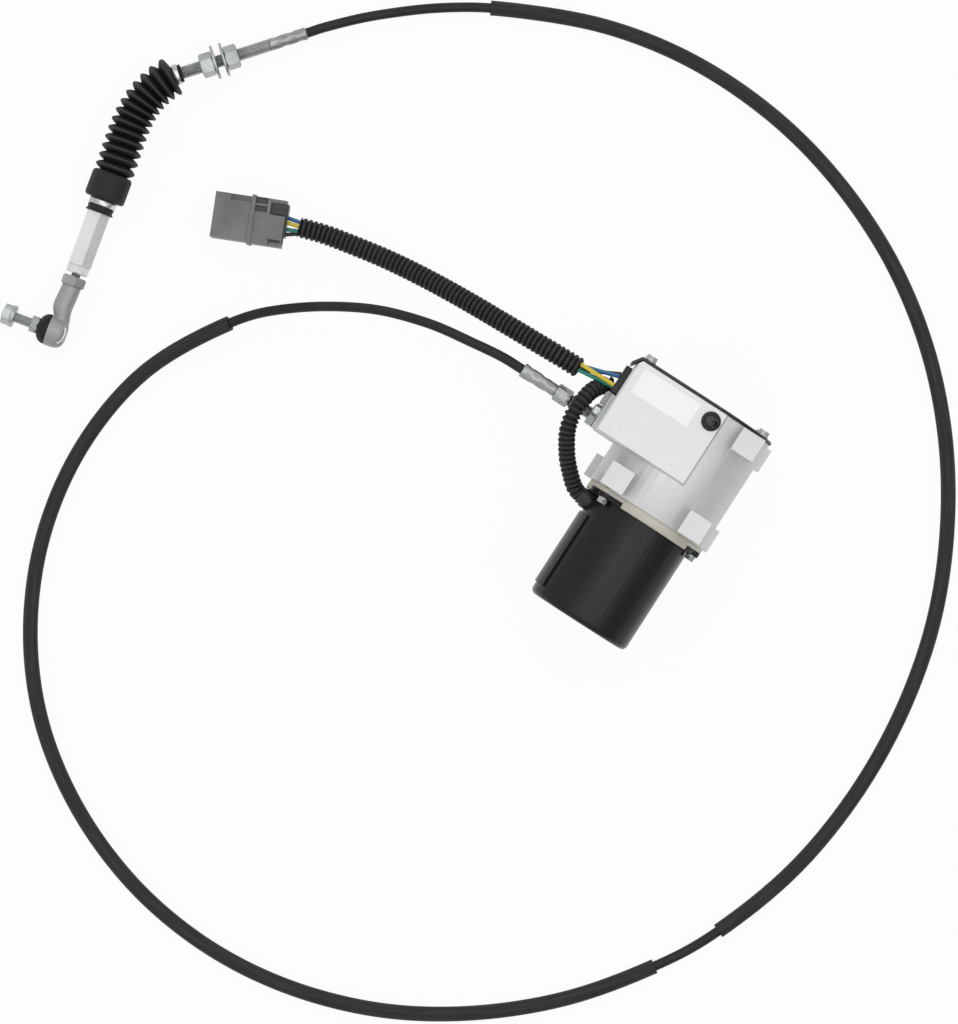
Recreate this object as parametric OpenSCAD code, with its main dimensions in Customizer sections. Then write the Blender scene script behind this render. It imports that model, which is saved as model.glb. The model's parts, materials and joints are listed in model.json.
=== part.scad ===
// Engine governor actuator: a geared DC motor that pushes and pulls a throttle cable.
// Origin: centre of the four mounting pads, on the mounting face. Motor axis along Y, +Z up.

/* [Gear housing] */
// Outer diameter of the cast barrel
housing_d = 79.5; // [77:0.5:82]
// Length of the barrel from the motor face to the cover face
housing_len = 74; // [72:0.5:80]
// How far the mounting pads stand out from the barrel
pad_proud = 4.25; // [3.25:0.25:7]
// Wall of the barrel
barrel_wall = 4; // [3:0.25:4.5]
// Thickness of the wall that carries the motor
rear_wall = 6; // [5:0.5:7]
// Side of the square mounting pads
pad_size = 15; // [12:0.5:17]
// Distance between pad centres across the barrel
pad_pitch_x = 54; // [50:0.5:56]
// Distance from a pad to the barrel's end
pad_margin = 0.5; // [0:0.25:3]
// Core diameter of the tapped mounting holes
mount_hole_d = 5; // [4:0.1:6]
// Depth of the tapped mounting holes
mount_hole_depth = 12; // [8:0.5:14]

/* [Cable box] */
// Height of the box's flat top above the barrel
box_rise = 1.75; // [0.75:0.25:6]
// How far the box's cable side stands out past the pads
box_reach = 10; // [9:0.5:14]
// Distance from the barrel axis to the box's plain side
box_right = 8.5; // [7:0.5:12]
// Distance from the pad centre to the box's rear face
box_rear = 12; // [11.5:0.5:15]
// Wall of the box
box_wall = 3; // [2:0.25:3]
// Bevel along the box's upper edges
box_bevel = 1.2; // [0.5:0.1:2]
// Bevel of the corner that the cover's lip follows
corner_bevel = 3.5; // [3:0.25:4.5]

/* [Cover] */
// Thickness of the sheet cover
cover_t = 1.6; // [1.2:0.1:2.5]
// Thickness of the gasket
gasket_t = 0.6; // [0.4:0.1:1.2]
// Thread diameter of the cover screws
cover_screw_d = 4; // [3:0.5:5]
// Length of the cover screws below the head
cover_screw_len = 14; // [10:1:18]

/* [Motor] */
// Outer diameter of the motor can
can_d = 67; // [64:0.5:67.5]
// Length of the motor can
can_len = 70.5; // [68:0.5:80]
// Sheet thickness of the can
can_wall = 2; // [1.5:0.1:2.5]
// Diameter of the end plate
end_plate_d = 78; // [77:0.5:80]
// Thickness of the end plate
end_plate_t = 6; // [5:0.25:8]
// Diameter of the motor shaft
shaft_d = 5; // [4:0.25:5.5]
// Diameter of the slotted armature core
armature_d = 50; // [44:0.5:51]
// Gap between the armature's windings and the rear bearing
armature_gap = 5; // [2:0.5:8]
// Radial thickness of the field magnets
magnet_t = 5; // [4:0.25:5.5]
// Diameter of the commutator
commutator_d = 18; // [14:0.5:20]
// Outer diameter of the motor's ball bearings
bearing_d = 16; // [14:0.5:18]
// Width of the motor's ball bearings
bearing_w = 5; // [4:0.25:6]

/* [Gear train] */
// Clearance between the double gear and the barrel
gear_clear = 1.55; // [1:0.05:2.5]
// Teeth of both small pinions
pinion_teeth = 12; // [12:1:12]
// Teeth of both large gears
gear_teeth = 36; // [35:1:37]
// Diameter of the output shaft
output_d = 8; // [7:0.25:9]
// Diameter of the fixed pin under the double gear
gear_pin_d = 3.5; // [3:0.25:4]
// Face width of the large gears
gear_w = 6; // [5:0.25:7]
// Teeth of the rack pinion
rack_pinion_teeth = 30; // [29:1:31]
// Teeth cut in the rack
rack_teeth = 12; // [12:2:12]
// Width of the rack
rack_w = 5; // [4:0.25:5.25]
// Height of the rack above its tooth roots
rack_h = 8; // [7:0.25:9]

/* [Control cable] */
// Distance of the cable's axis behind the pad centre
cable_back = 5; // [4.5:0.25:6]
// Diameter of the bare conduit
conduit_d = 6; // [5:0.25:7]
// Diameter of the rubber sleeves over the conduit
sleeve_d = 9.2; // [8:0.2:10]
// Diameter of the inner core wire
core_d = 3; // [2.5:0.1:3.5]
// Thread diameter of both cable ends
thread_d = 8; // [7:0.5:9]
// Width across flats of the nuts on the cable threads
nut_af = 13; // [12:0.5:15]
// Thickness of the hub nuts
nut_h = 8.3; // [6:0.1:9]
// Thickness of the lock nut at the actuator
lock_nut_h = 5; // [4:0.25:6]
// Diameter of the hub washers
washer_d = 21; // [18:0.5:24]
// Thickness of the hub washers
washer_t = 1.5; // [1:0.1:2]
// Gap between the hub washers, for a bulkhead plate
bulkhead_gap = 4.3; // [3:0.1:6]
// Width across flats of the fitting's hex
fitting_af = 9.5; // [9:0.25:11]
// Length of the fitting's hex
fitting_hex_len = 10; // [8:0.5:12]
// Length of the crimped ferrules
ferrule_len = 23.5; // [20:0.5:26]
// Diameter of the crimped ferrules
ferrule_d = 7.6; // [7:0.1:8]

/* [Cable end] */
// Height of the far end's axis above the mounting face
far_z = 12.5; // [12.5:0.5:16]
// Outer diameter of the bellows
bellows_d = 25; // [22:0.2:25]
// Root diameter of the bellows
bellows_root_d = 17; // [16:0.2:19]
// Number of bellows folds
folds = 13; // [11:1:15]
// Diameter of the bellows cuff
cuff_d = 25; // [23:0.2:25]
// Length of the bellows cuff
cuff_len = 17.3; // [14:0.1:18.5]
// Width across flats of the hex coupling
coupling_af = 13; // [12.5:0.25:14.5]
// Length of the hex coupling
coupling_len = 34.2; // [30:0.2:38]
// Thread diameter of the rod end
rod_thread_d = 6; // [5:0.25:7]
// Width across flats of the rod end's lock nut
jam_af = 12.7; // [11:0.1:14]
// Thickness of the rod end's lock nut
jam_h = 5.2; // [4:0.1:6]
// Diameter of the ball
ball_d = 12; // [11:0.25:12.5]
// Diameter of the ball socket
socket_d = 18.5; // [17.5:0.25:20]
// Thread diameter of the ball stud
stud_d = 6.35; // [5.5:0.05:6.5]
// Length of the ball stud's thread
stud_thread_len = 18.4; // [15:0.2:22]

/* [Harness] */
// Width of the connector housing
connector_w = 27.6; // [25:0.2:30]
// Thickness of the connector housing
connector_t = 19; // [17:0.2:21]
// Diameter of the main corrugated tube
harness_d = 12.4; // [11:0.2:13]
// Diameter of the motor lead's corrugated tube
lead_d = 10; // [9:0.2:10.5]
// Diameter of each wire
wire_d = 2.5; // [2:0.1:2.6]

/* [Hidden] */
$fn = 64;
// Running clearance of shafts and slides
run = 0.05;
// Clearance of pieces that are slipped into each other
slip = 0.1;
// Clearance of soft pieces
soft = 0.3;
// Overlap that keeps cuts from ending on a face
past = 1;
pressure_angle = 20;

front_y = housing_len / 2;
rear_y = -front_y;
housing_r = housing_d / 2;
bore_r = housing_r - barrel_wall;
axis_z = housing_r + pad_proud;
pad_pitch_y = housing_len - pad_size - 2 * pad_margin;

box_top = axis_z + housing_r + box_rise;
box_left = axis_z + box_reach;
box_bottom = axis_z;
box_in_left = -box_left + box_wall;
box_in_right = box_right - box_wall;
box_in_rear = -box_rear + box_wall;
box_in_top = box_top - box_wall;
box_in_w = box_in_right - box_in_left;
box_in_h = box_in_top - box_bottom - box_wall;

// Cover screws: two in the box's outer corners and two on the barrel
boss_r = cover_screw_d / 2 + 1.9;
corner_screw_x = -box_left + boss_r + 2.1;
corner_screw_z = box_top - boss_r - 1.6;
foot_screw_z = box_bottom + boss_r + 1;
ring_screw_r = housing_r - boss_r - 0.25;
ring_screw_angle = 25;
ring_screw_x = ring_screw_r * cos(ring_screw_angle);
ring_screw_z = ring_screw_r * sin(ring_screw_angle);
COVER_SCREWS = [
    [corner_screw_x, corner_screw_z],
    [corner_screw_x, foot_screw_z],
    [ring_screw_x, axis_z + ring_screw_z],
    [ring_screw_x, axis_z - ring_screw_z]
];
tap_r = cover_screw_d * 0.41;
cover_y = front_y + gasket_t;
cover_rim = 0.75;

// Motor, from the housing back to the closed end of the can
can_r = can_d / 2;
plate_y = rear_y - end_plate_t;
can_end_y = plate_y - can_len;
can_in_r = can_r - can_wall;
spigot_len = 3;
brush_plate_t = 3;
rear_bearing_y = can_end_y + can_wall;
spigot_y = plate_y - spigot_len;
brush_plate_y = spigot_y - brush_plate_t;
commutator_len = 9.5;
commutator_y = brush_plate_y + 0.5;
brush_w = 5;
brush_y = commutator_y - commutator_len + 2.4;
winding_len = 4.5;
winding_y = commutator_y - commutator_len - 0.5;
core_y = winding_y - winding_len;
armature_len = core_y - winding_len - armature_gap - bearing_w - rear_bearing_y;
front_bearing_y = rear_y - 0.5;
can_edge = 3.5;
seam_t = 1.2;
seam_low = 7;
seam_high = 31;
ear_t = 3;
ear_half = 22;
bolt_d = 4;
bolt_head_r = 3.3;
bolt_head_h = 2.6;
bolt_washer_t = 1;
bolt_reach = rear_wall - 1.5;
bolt_tap_r = bolt_d * 0.41;
bolt_ring_r = can_r + bolt_head_r + 0.3;
BOLT_ANGLES = [17, 137, 257];

// Gear train: two equal stages, so the output shaft lies level with the motor shaft
addendum = 0.75;
dedendum = 1;
backlash = 0.06;
gear_m = (bore_r - gear_clear) / (pinion_teeth / 2 + gear_teeth + addendum);
rack_m = 1.25 * gear_m;
stage_centre = gear_m * (pinion_teeth + gear_teeth) / 2;
output_x = stage_centre * 0.78125;
pin_x = -output_x / 2;
pin_z = axis_z - sqrt(stage_centre * stage_centre - output_x * output_x / 4);
gear_hub_r = gear_pin_d / 2 + 1.05;
pinion_y0 = rear_y + rear_wall + 1;
double_y0 = pinion_y0 + 1;
double_y1 = double_y0 + gear_w;
motor_pinion_len = gear_w + 2.5;
shaft_end_y = pinion_y0 + motor_pinion_len + 0.3;
output_gear_y = shaft_end_y + 2;
small_pinion_end_y = output_gear_y + gear_w + 1;
angle_to_pin = atan2(pin_z - axis_z, pin_x);
angle_to_output = atan2(axis_z - pin_z, -output_x - pin_x);

// Rack above the output shaft, in line with the cable
cable_y = -cable_back;
rack_r = rack_m * rack_pinion_teeth / 2;
rack_pitch_z = axis_z + rack_r;
rack_root_z = rack_pitch_z + 1.1 * rack_m;
rack_top_z = rack_root_z + rack_h;
rack_pitch = PI * rack_m;
rack_x0 = -output_x - rack_teeth / 2 * rack_pitch;
rack_x1 = -output_x + rack_teeth / 2 * rack_pitch;
cable_z = rack_root_z + rack_h * 0.43;
stroke = 15.8;
guide_wall = 1.2;
guide_w = rack_w + 2 * slip + 2 * guide_wall;

// Bridge plate that carries the front ends of the pin and the output shaft
bridge_y = cable_y + rack_w / 2 + 4.5;
bridge_t = 5;
bush_wall = 2;
bush_r = output_d / 2 + run + bush_wall;
bridge_hub_r = bush_r + 3.5;
bridge_hub_len = 7;
bridge_front_y = bridge_y + bridge_t;
pot_y = bridge_front_y + bridge_hub_len;
post_r = 3.2;
post_ring_r = bore_r - post_r + 0.2;
POST_ANGLES = [-15, 65, 205];
bridge_screw_r = 1.45;
bridge_screw_reach = 8;
bridge_screw_head_r = 2.7;
bridge_screw_head_h = 2.2;

// Fittings on the cable side of the box
bracket_t = 2.5;
bracket_x = -box_left - bracket_t;
lock_nut_x = bracket_x - lock_nut_h;
fitting_hex_x = lock_nut_x - 14;
ferrule_x = fitting_hex_x - fitting_hex_len;
cable_x = ferrule_x - ferrule_len;
core_r = core_d / 2;
core_bore_r = core_r + slip;
clamp_bolt_y = cable_y + 3;
clamp_bolt_z = cable_z + nut_af / 2 + 5.5;
grommet_y0 = front_y - 25;
bracket_y1 = grommet_y0 - 0.8;
shelf_y = cable_y + nut_af * 0.6;
grommet_w = 18.5;
grommet_z0 = cable_z - 9;
grommet_h = 19;
grommet_t = 4.2;
grommet_lip = 2;
vent_x = 1.2;
vent_y = front_y - 8.2;

// Cable hub at the far end, measured from the conduit's end
hub_x = -330.5;
hub_y = 97.5;
hub_angle = 230.5;
hub_nut_x = ferrule_len + 20;
hub_washer_x = hub_nut_x + nut_h;
hub_washer2_x = hub_washer_x + washer_t + bulkhead_gap;
hub_nut2_x = hub_washer2_x + washer_t;
boot_x = hub_nut2_x + nut_h + 12;
boot_lip = 1.8;
hub_band_w = 3.2;
boot_neck_r = thread_d / 2 + 1.2;
hub_band_x = boot_x + boot_lip;
hub_end_x = hub_band_x + hub_band_w + 0.9;

// Rod end, measured from where the hex coupling leaves the boot
rod_x = -377.4;
rod_y = -62.7;
rod_angle = -77.5;
cuff_lip = 4.1;
cuff_band_w = 4.3;
cuff_x = -cuff_lip - cuff_band_w - cuff_len;
spigot_r = coupling_af / 2 - 0.6;
cuff_bore_r = spigot_r + soft + 0.2;
cuff_neck_r = cuff_bore_r + 1;
jam_x = coupling_len;
collar_x = jam_x + jam_h + 2;
collar_r = 7.4;
collar_len = 6;
shank_r = 6.1;
socket_x = 77;
neck_x = 60;
ball_r = ball_d / 2;
socket_r = socket_d / 2;
socket_near = ball_r * 0.7;
socket_far = ball_r + 1.3;
neck_r = socket_near - 0.2;
socket_mouth_r = sqrt(pow(ball_r + run, 2) - socket_near * socket_near);
stud_neck_r = stud_d / 2;
dust_boot_h = 5.8;
stud_hex_y = socket_near + soft + dust_boot_h + soft;
stud_hex_h = 4.8;
stud_hex_af = 10;
stud_thread_y = stud_hex_y + stud_hex_h;
stud_end_y = stud_thread_y + stud_thread_len;
flange_nut_h = 7.4;
flange_h = 2.5;
flange_r = 6.7;
flange_nut_af = 11;
flange_y = stud_end_y - flange_nut_h - 0.4;

// Connector, measured from its own middle
connector_x = -297;
connector_y = -15.9;
connector_angle = 24.3;
connector_rib = 1.2;
connector_z = connector_t / 2 + connector_rib;
mouth_depth = 17.5;
shell_x0 = -23.5;
shell_x1 = 20;
shell_wall = 1.8;
notch_w = 9.4;
mouth_w = connector_w - 2 * shell_wall;
mouth_h = connector_t - 2 * shell_wall;
retainer_x = 10;
retainer_len = shell_x1 + 1.5 - retainer_x;

// Conduit and sleeves: points along the middle of the cable, from the actuator to the hub
lay_z = sleeve_d / 2;
CABLE_ROUTE = [
    [cable_x, cable_y, cable_z], [-123, -5.2, 63.3], [-142, -7.5, 62.5], [-173, -12.5, 58.5],
    [-208, -24.5, 49], [-246, -48, 33], [-274, -76, 18],
    [-302, -128, 6.5], [-310, -186, lay_z + 0.5], [-301, -244, lay_z], [-277, -297, lay_z],
    [-241, -341, lay_z],
    [-194, -374, lay_z], [-140, -395, lay_z], [-84, -402.5, lay_z], [-28, -397, lay_z], [27, -379, lay_z],
    [76, -350, lay_z], [120, -311, lay_z], [155, -265, lay_z],
    [176, -226, lay_z],
    [194, -171, lay_z], [201, -114, lay_z], [198, -56, lay_z], [185, 1, lay_z], [162, 53, lay_z],
    [130, 101, lay_z], [90, 142, lay_z], [42, 175, lay_z], [-12, 198, lay_z], [-67, 210, lay_z],
    [-125, 211, lay_z], [-181, 200, lay_z], [-235, 177, 5.5],
    [-270, 155.5, 8], [-301, 129.5, 11.5], [-321.6, 108.3, far_z], [hub_x, hub_y, far_z]
];
// Places in the route where the sleeves start and end
sleeve2_start = 6;
sleeve2_end = 19;
sleeve1_start = 20;
sleeve1_end = 33;
// Where the wires leave the grommet, and where the harness tube takes them up
wire_exit = [-box_left - grommet_t, grommet_y0, cable_z];
loom_start = wire_exit + [-22.8, 2, 0.46];
// Main harness tube, from the connector to the actuator
HARNESS_ROUTE = [
    [-270.5, -3.9, 10.7], [-256, 0.5, 11], [-242, 3.5, 13], [-216, 8, 19], [-191, 10.7, 27.5],
    [-165, 12.2, 38], [-138, 12.9, 49], [-112, 13.4, 57.5],
    loom_start + [-14, -0.2, -2], loom_start
];
// Motor lead tube, from the wire grommet over the cable fitting and down to the motor
gland_r = 5.2;
gland_x = -can_r - 6.7;
gland_y = plate_y - gland_r - 0.5;
gland_z = axis_z + 4.5;
LEAD_ROUTE = concat(
    [for (p = [[0, 5, -3], [-5.2, 1.2, -3], [-9.4, -5.4, 5]]) wire_exit + p],
    [for (p = [
        [-15.2, -1.6, 9.8], [-15.6, -9.4, 11], [-14.6, -16.2, 9.5], [-12.4, -22.4, 6.6], [-8.4, -29, 2.2]
    ]) [-box_left, 0, cable_z] + p],
    [for (p = [[-17, 12.8, 12.2], [-10.8, 6.8, 7.4], [-5.1, 2.1, 3.2], [0, 0, 0]])
        [gland_x, gland_y, gland_z] + p]
);
// Wires from the grommet to the harness tube, each from one point to another
NEAR_WIRES = [
    [wire_exit + [0, 6.2, 6.6], loom_start + [-1, 1.6, 2.2]],
    [wire_exit + [0, 11, 5.4], loom_start + [-1, 3, -0.8]],
    [wire_exit + [0, 3.6, 8.6], loom_start + [-1, -1.6, 2.6]],
    [wire_exit + [0, 12.6, 0.7], loom_start + [-1, -0.1, -2.4]]
];
// Wires from the connector to the harness tube, in the connector's own frame
FAR_WIRES = [
    [[19, 5, 0], [29.5, 2.8, 1.5]], [[19, 2, 1.8], [29.5, 0, 3]],
    [[19, -2.6, 1], [29.5, -2.6, 1]], [[19, -6.2, -1], [29.5, -3.8, -2.4]]
];

// Shapes that repeat

module rod_y(r, y0, y1) translate([0, y0, 0]) rotate([-90, 0, 0]) cylinder(r = r, h = y1 - y0);

module rod_x(r, x0, x1) translate([x0, 0, 0]) rotate([0, 90, 0]) cylinder(r = r, h = x1 - x0);

// A hexagon bar along X, with two corners at the top and bottom when turn is 0
module hex_x(af, x0, x1, turn = 0)
    translate([x0, 0, 0]) rotate([turn, 0, 0]) rotate([0, 90, 0])
        cylinder(d = af / cos(30), h = x1 - x0, $fn = 6);

// A nut along X, its corners chamfered at both ends
module nut_x(af, x0, x1, turn = 0) intersection() {
    hex_x(af, x0, x1, turn);
    translate([x0, 0, 0]) rotate([0, 90, 0]) rotate_extrude() polygon([
        [0, 0], [af * 0.47, 0], [af * 0.6, af * 0.075], [af * 0.6, x1 - x0 - af * 0.075],
        [af * 0.47, x1 - x0], [0, x1 - x0]
    ]);
}

// A shape drawn in X and Z, made solid from y0 to y1
module plate_y(y0, y1) translate([0, y1, 0]) rotate([90, 0, 0]) linear_extrude(y1 - y0) children();

module on_axis() translate([0, 0, axis_z]) children();

// A place at the angle a on a circle about the Y axis
module around(r, a) translate([r * cos(a), 0, r * sin(a)]) children();

module on_output() translate([-output_x, 0, axis_z]) children();

module on_pin() translate([pin_x, 0, pin_z]) children();

module on_cable() translate([0, cable_y, cable_z]) children();

module at_hub() translate([hub_x, hub_y, far_z]) rotate([0, 0, hub_angle]) children();

module at_rod() translate([rod_x, rod_y, far_z]) rotate([0, 0, rod_angle]) children();

// The ball joint's own frame, with the stud along +Y
module at_ball() at_rod() translate([socket_x, 0, 0]) rotate([0, 0, 180]) children();

module at_connector()
    translate([connector_x, connector_y, connector_z]) rotate([0, 0, connector_angle]) children();

// A rod between two points
module wire(a, b) {
    d = b - a;
    translate(a) rotate([0, acos(d[2] / norm(d)), atan2(d[1], d[0])])
        cylinder(d = wire_d, h = norm(d), $fn = 24);
}

// Involute gear outline

function inv(a) = tan(a) * 180 / PI - a;

function flank(r, rb, half) = half + inv(pressure_angle) - inv(acos(min(1, rb / max(r, rb))));

function gear_outline(m, teeth, add, ded) =
    let (
        rp = m * teeth / 2,
        rb = rp * cos(pressure_angle),
        tip = rp + add * m,
        root = rp - ded * m,
        half = 90 / teeth - backlash / 2 / rp * 180 / PI,
        low = max(rb, root),
        radii = [root, low, low + (tip - low) * 0.5, tip]
    )
    [for (i = [0:teeth - 1]) each concat(
        [for (r = radii) let (a = 360 * i / teeth - flank(r, rb, half)) r * [cos(a), sin(a)]],
        [for (k = [3:-1:0]) let (r = radii[k], a = 360 * i / teeth + flank(r, rb, half)) r * [cos(a), sin(a)]]
    )];

// A spur gear along Y with one tooth pointing at the angle first
module spur_gear(m, teeth, y0, y1, first, bore_r, add = addendum, ded = dedendum)
    plate_y(y0, y1) difference() {
        rotate(first) polygon(gear_outline(m, teeth, add, ded));
        circle(r = bore_r);
    }

// Tubes swept along a row of stations, each a centre, a direction and a radius

function unit(v) = v / norm(v);

function ring(station, sides) =
    let (
        t = unit(station[1]),
        s = unit(cross([0, 0, 1], t)),
        u = cross(t, s)
    )
    [for (k = [0:sides - 1]) station[0] + station[2] * (cos(360 * k / sides) * s + sin(360 * k / sides) * u)];

module sweep(stations, sides) {
    last = len(stations) - 1;
    polyhedron(
        points = [for (st = stations) each ring(st, sides)],
        faces = concat(
            [[for (k = [0:sides - 1]) k]],
            [for (i = [0:last - 1], k = [0:sides - 1])
                let (n = (k + 1) % sides)
                [i * sides + k, (i + 1) * sides + k, (i + 1) * sides + n, i * sides + n]],
            [[for (k = [sides - 1:-1:0]) last * sides + k]]
        )
    );
}

// A smooth curve through the points of a route
function route_at(p, i, f) =
    let (
        n = len(p) - 1,
        a = i > 0 ? p[i - 1] : 2 * p[0] - p[1],
        b = p[i],
        c = p[min(i + 1, n)],
        d = i + 2 <= n ? p[i + 2] : 2 * p[n] - p[n - 1]
    )
    0.5 * (2 * b + (c - a) * f + (2 * a - 5 * b + 4 * c - d) * f * f + (3 * b - a - 3 * c + d) * f * f * f);

function route_dir(p, i, f) =
    let (
        n = len(p) - 1,
        a = i > 0 ? p[i - 1] : 2 * p[0] - p[1],
        b = p[i],
        c = p[min(i + 1, n)],
        d = i + 2 <= n ? p[i + 2] : 2 * p[n] - p[n - 1]
    )
    0.5 * ((c - a) + 2 * (2 * a - 5 * b + 4 * c - d) * f + 3 * (3 * b - a - 3 * c + d) * f * f);

// A tube from one point of a route to another, with rings at the points and cuts - 1 rings between them
module cord(route, first, last, d, cuts = 2, sides = 10)
    sweep([for (j = [first * cuts:last * cuts])
        let (i = min(floor(j / cuts), len(route) - 2), f = j / cuts - i)
        [route_at(route, i, f), route_dir(route, i, f), d / 2]], sides);

// Gear housing

// One pad below the barrel, or beside it when the barrel is turned about its axis
module pad(x, y, turn) on_axis() rotate([0, turn, 0])
    translate([x - pad_size / 2, y - pad_size / 2, -axis_z])
        cube([pad_size, pad_size, axis_z - housing_r * 0.45]);

module housing_pads() {
    across = pad_pitch_x / 2;
    along = pad_pitch_y / 2;
    for (x = [-across, across], y = [-along, along]) pad(x, y, 0);
    // One row low on each side
    for (y = [-along, along]) {
        pad(-across, y, -90);
        pad(across, y, 90);
    }
    // The cable box takes the place of one pad above the barrel
    for (x = [-across, across]) pad(x, -along, 180);
    pad(-across, along, 180);
}

module cable_box() intersection() {
    plate_y(-box_rear, front_y) polygon([
        [-box_left, box_bottom], [-box_left, box_top - box_bevel], [-box_left + box_bevel, box_top],
        [box_right - box_bevel, box_top], [box_right, box_top - box_bevel], [box_right, box_bottom]
    ]);
    translate([-box_left, 0, 0]) rotate([90, 0, 90]) linear_extrude(box_left + box_right) polygon([
        [-box_rear, box_bottom], [-box_rear, box_top - box_bevel], [-box_rear + box_bevel, box_top],
        [front_y, box_top], [front_y, box_bottom]
    ]);
    translate([0, 0, box_bottom]) linear_extrude(box_top - box_bottom) polygon([
        [-box_left, -box_rear], [-box_left, front_y - corner_bevel],
        [-box_left + corner_bevel * 0.7, front_y], [box_right, front_y], [box_right, -box_rear]
    ]);
}

module gear_housing() color("gainsboro") difference() {
    union() {
        difference() {
            union() {
                on_axis() rod_y(housing_r, rear_y, front_y);
                cable_box();
                housing_pads();
            }
            on_axis() rod_y(bore_r, rear_y + rear_wall, front_y + past);
            translate([box_in_left, box_in_rear, box_bottom + box_wall])
                cube([box_in_w, front_y + past - box_in_rear, box_in_h]);
        }
        // Posts for the bridge plate
        for (a = POST_ANGLES) on_axis() around(post_ring_r, a)
            rod_y(post_r, rear_y + rear_wall - past, bridge_y);
        // Bosses for the cover screws
        for (p = COVER_SCREWS) translate([p[0], 0, p[1]])
            rod_y(boss_r, front_y - cover_screw_len - 2, front_y);
    }
    // Opening for the motor pinion, and the seat of the gear pin
    on_axis() rod_y(bearing_d / 2 + 1, rear_y - past, rear_y + rear_wall + past);
    on_pin() rod_y(gear_pin_d / 2, rear_y + 2, rear_y + rear_wall + past);
    for (a = POST_ANGLES) on_axis() around(post_ring_r, a)
        rod_y(bridge_screw_r + run, bridge_y - bridge_screw_reach - past, bridge_y + past);
    for (p = COVER_SCREWS) translate([p[0], 0, p[1]])
        rod_y(tap_r, front_y - cover_screw_len, front_y + past);
    for (a = BOLT_ANGLES) on_axis() around(bolt_ring_r, a)
        rod_y(bolt_tap_r, rear_y - past, rear_y + bolt_reach + past);
    // Cable fitting, clamp bolt and wire grommet in the cable side of the box
    on_cable() rod_x(thread_d / 2 + run, -box_left - past, box_in_left + past);
    translate([0, clamp_bolt_y, clamp_bolt_z]) rod_x(2.05, -box_left - past, box_in_left + past);
    translate([-box_left - past, grommet_y0 + grommet_lip, grommet_z0 + grommet_lip])
        cube([box_wall + 2 * past, grommet_w - 2 * grommet_lip, grommet_h - 2 * grommet_lip]);
    translate([vent_x, vent_y, box_in_top - past]) cylinder(r = 3 + slip, h = box_wall + 2 * past);
    // Tapped holes in the mounting pads
    for (sx = [-1, 1], sy = [-1, 1]) translate([sx * pad_pitch_x / 2, sy * pad_pitch_y / 2, -past])
        cylinder(d = mount_hole_d, h = mount_hole_depth + past);
}

// Cover

module cover_outline(rim) {
    translate([0, axis_z]) circle(r = housing_r + rim);
    translate([-box_left + corner_bevel * 0.7, box_bottom])
        square([box_left + box_right - corner_bevel * 0.7, box_top - box_bottom]);
}

module cover_screw_holes(r) for (p = COVER_SCREWS) translate(p) circle(r = r);

module cover_gasket() color("black") plate_y(front_y, cover_y) difference() {
    cover_outline(0);
    difference() {
        union() {
            translate([0, axis_z]) circle(r = bore_r);
            translate([box_in_left, box_bottom + box_wall])
                square([box_in_w, box_in_h]);
        }
        for (p = COVER_SCREWS) translate(p) circle(r = boss_r);
    }
    cover_screw_holes(cover_screw_d / 2 + slip);
}

module top_cover() color("dimgray") {
    bend_x = -box_left + corner_bevel * 0.7;
    lip_run = [-5.7, -8.1] * 0.7;
    plate_y(cover_y, cover_y + cover_t) difference() {
        cover_outline(cover_rim);
        cover_screw_holes(cover_screw_d / 2 + slip);
    }
    // Lip that is bent back past the wire grommet
    translate([0, 0, box_bottom + 2]) linear_extrude(box_top - box_bottom - 2) polygon([
        [bend_x, cover_y], [bend_x, cover_y + cover_t], [bend_x - cover_t, cover_y + cover_t],
        [bend_x - cover_t, cover_y + cover_t] + lip_run, [bend_x - 0.4, cover_y] + lip_run,
        [bend_x - 0.4, cover_y]
    ]);
}

module cover_screws() color("silver") for (p = COVER_SCREWS) translate([p[0], 0, p[1]]) {
    rod_y(tap_r - run, front_y - cover_screw_len + 1, cover_y + cover_t);
    rod_y(cover_screw_d * 0.95, cover_y + cover_t, cover_y + cover_t + 0.9);
    difference() {
        rod_y(cover_screw_d * 0.85, cover_y + cover_t + 0.9, cover_y + cover_t + 3.5);
        for (a = [0, 90]) rotate([0, a, 0])
            translate([-2, cover_y + cover_t + 2.2, -0.4]) cube([4, 2, 0.8]);
    }
}

module vent_plug() color("black") translate([vent_x, vent_y, 0]) {
    translate([0, 0, box_in_top]) cylinder(r = 3, h = box_wall);
    translate([0, 0, box_top]) cylinder(r = 5.9, h = 1.6);
    translate([0, 0, box_top + 1.6]) cylinder(r = 4.6, h = 1.4);
    translate([0, 0, box_top + 3]) cylinder(r = 3.3, h = 1.6);
    translate([0, 0, box_top + 3.6]) rotate([13, 13, 0]) difference() {
        cylinder(r = 2.6, h = 3.4);
        translate([0, 0, 1.6]) cylinder(r = 1.4, h = 4);
    }
}

// Motor

// The three places at the bolts where the can's ears lie in the end plate
module can_ears(inner_r, outer_r, boss_rise, turn, y0, y1) for (a = BOLT_ANGLES) on_axis() {
    translate([0, y1, 0]) rotate([90, 0, 0]) rotate([0, 0, a - turn]) rotate_extrude(angle = 2 * turn)
        translate([inner_r, 0]) square([outer_r - inner_r, y1 - y0]);
    around(bolt_ring_r, a) rod_y(bolt_head_r + boss_rise, y0, y1);
}

module bolt_holes(y0, y1) for (a = BOLT_ANGLES) on_axis() around(bolt_ring_r, a)
    rod_y(bolt_d / 2 + slip, y0, y1);

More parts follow.
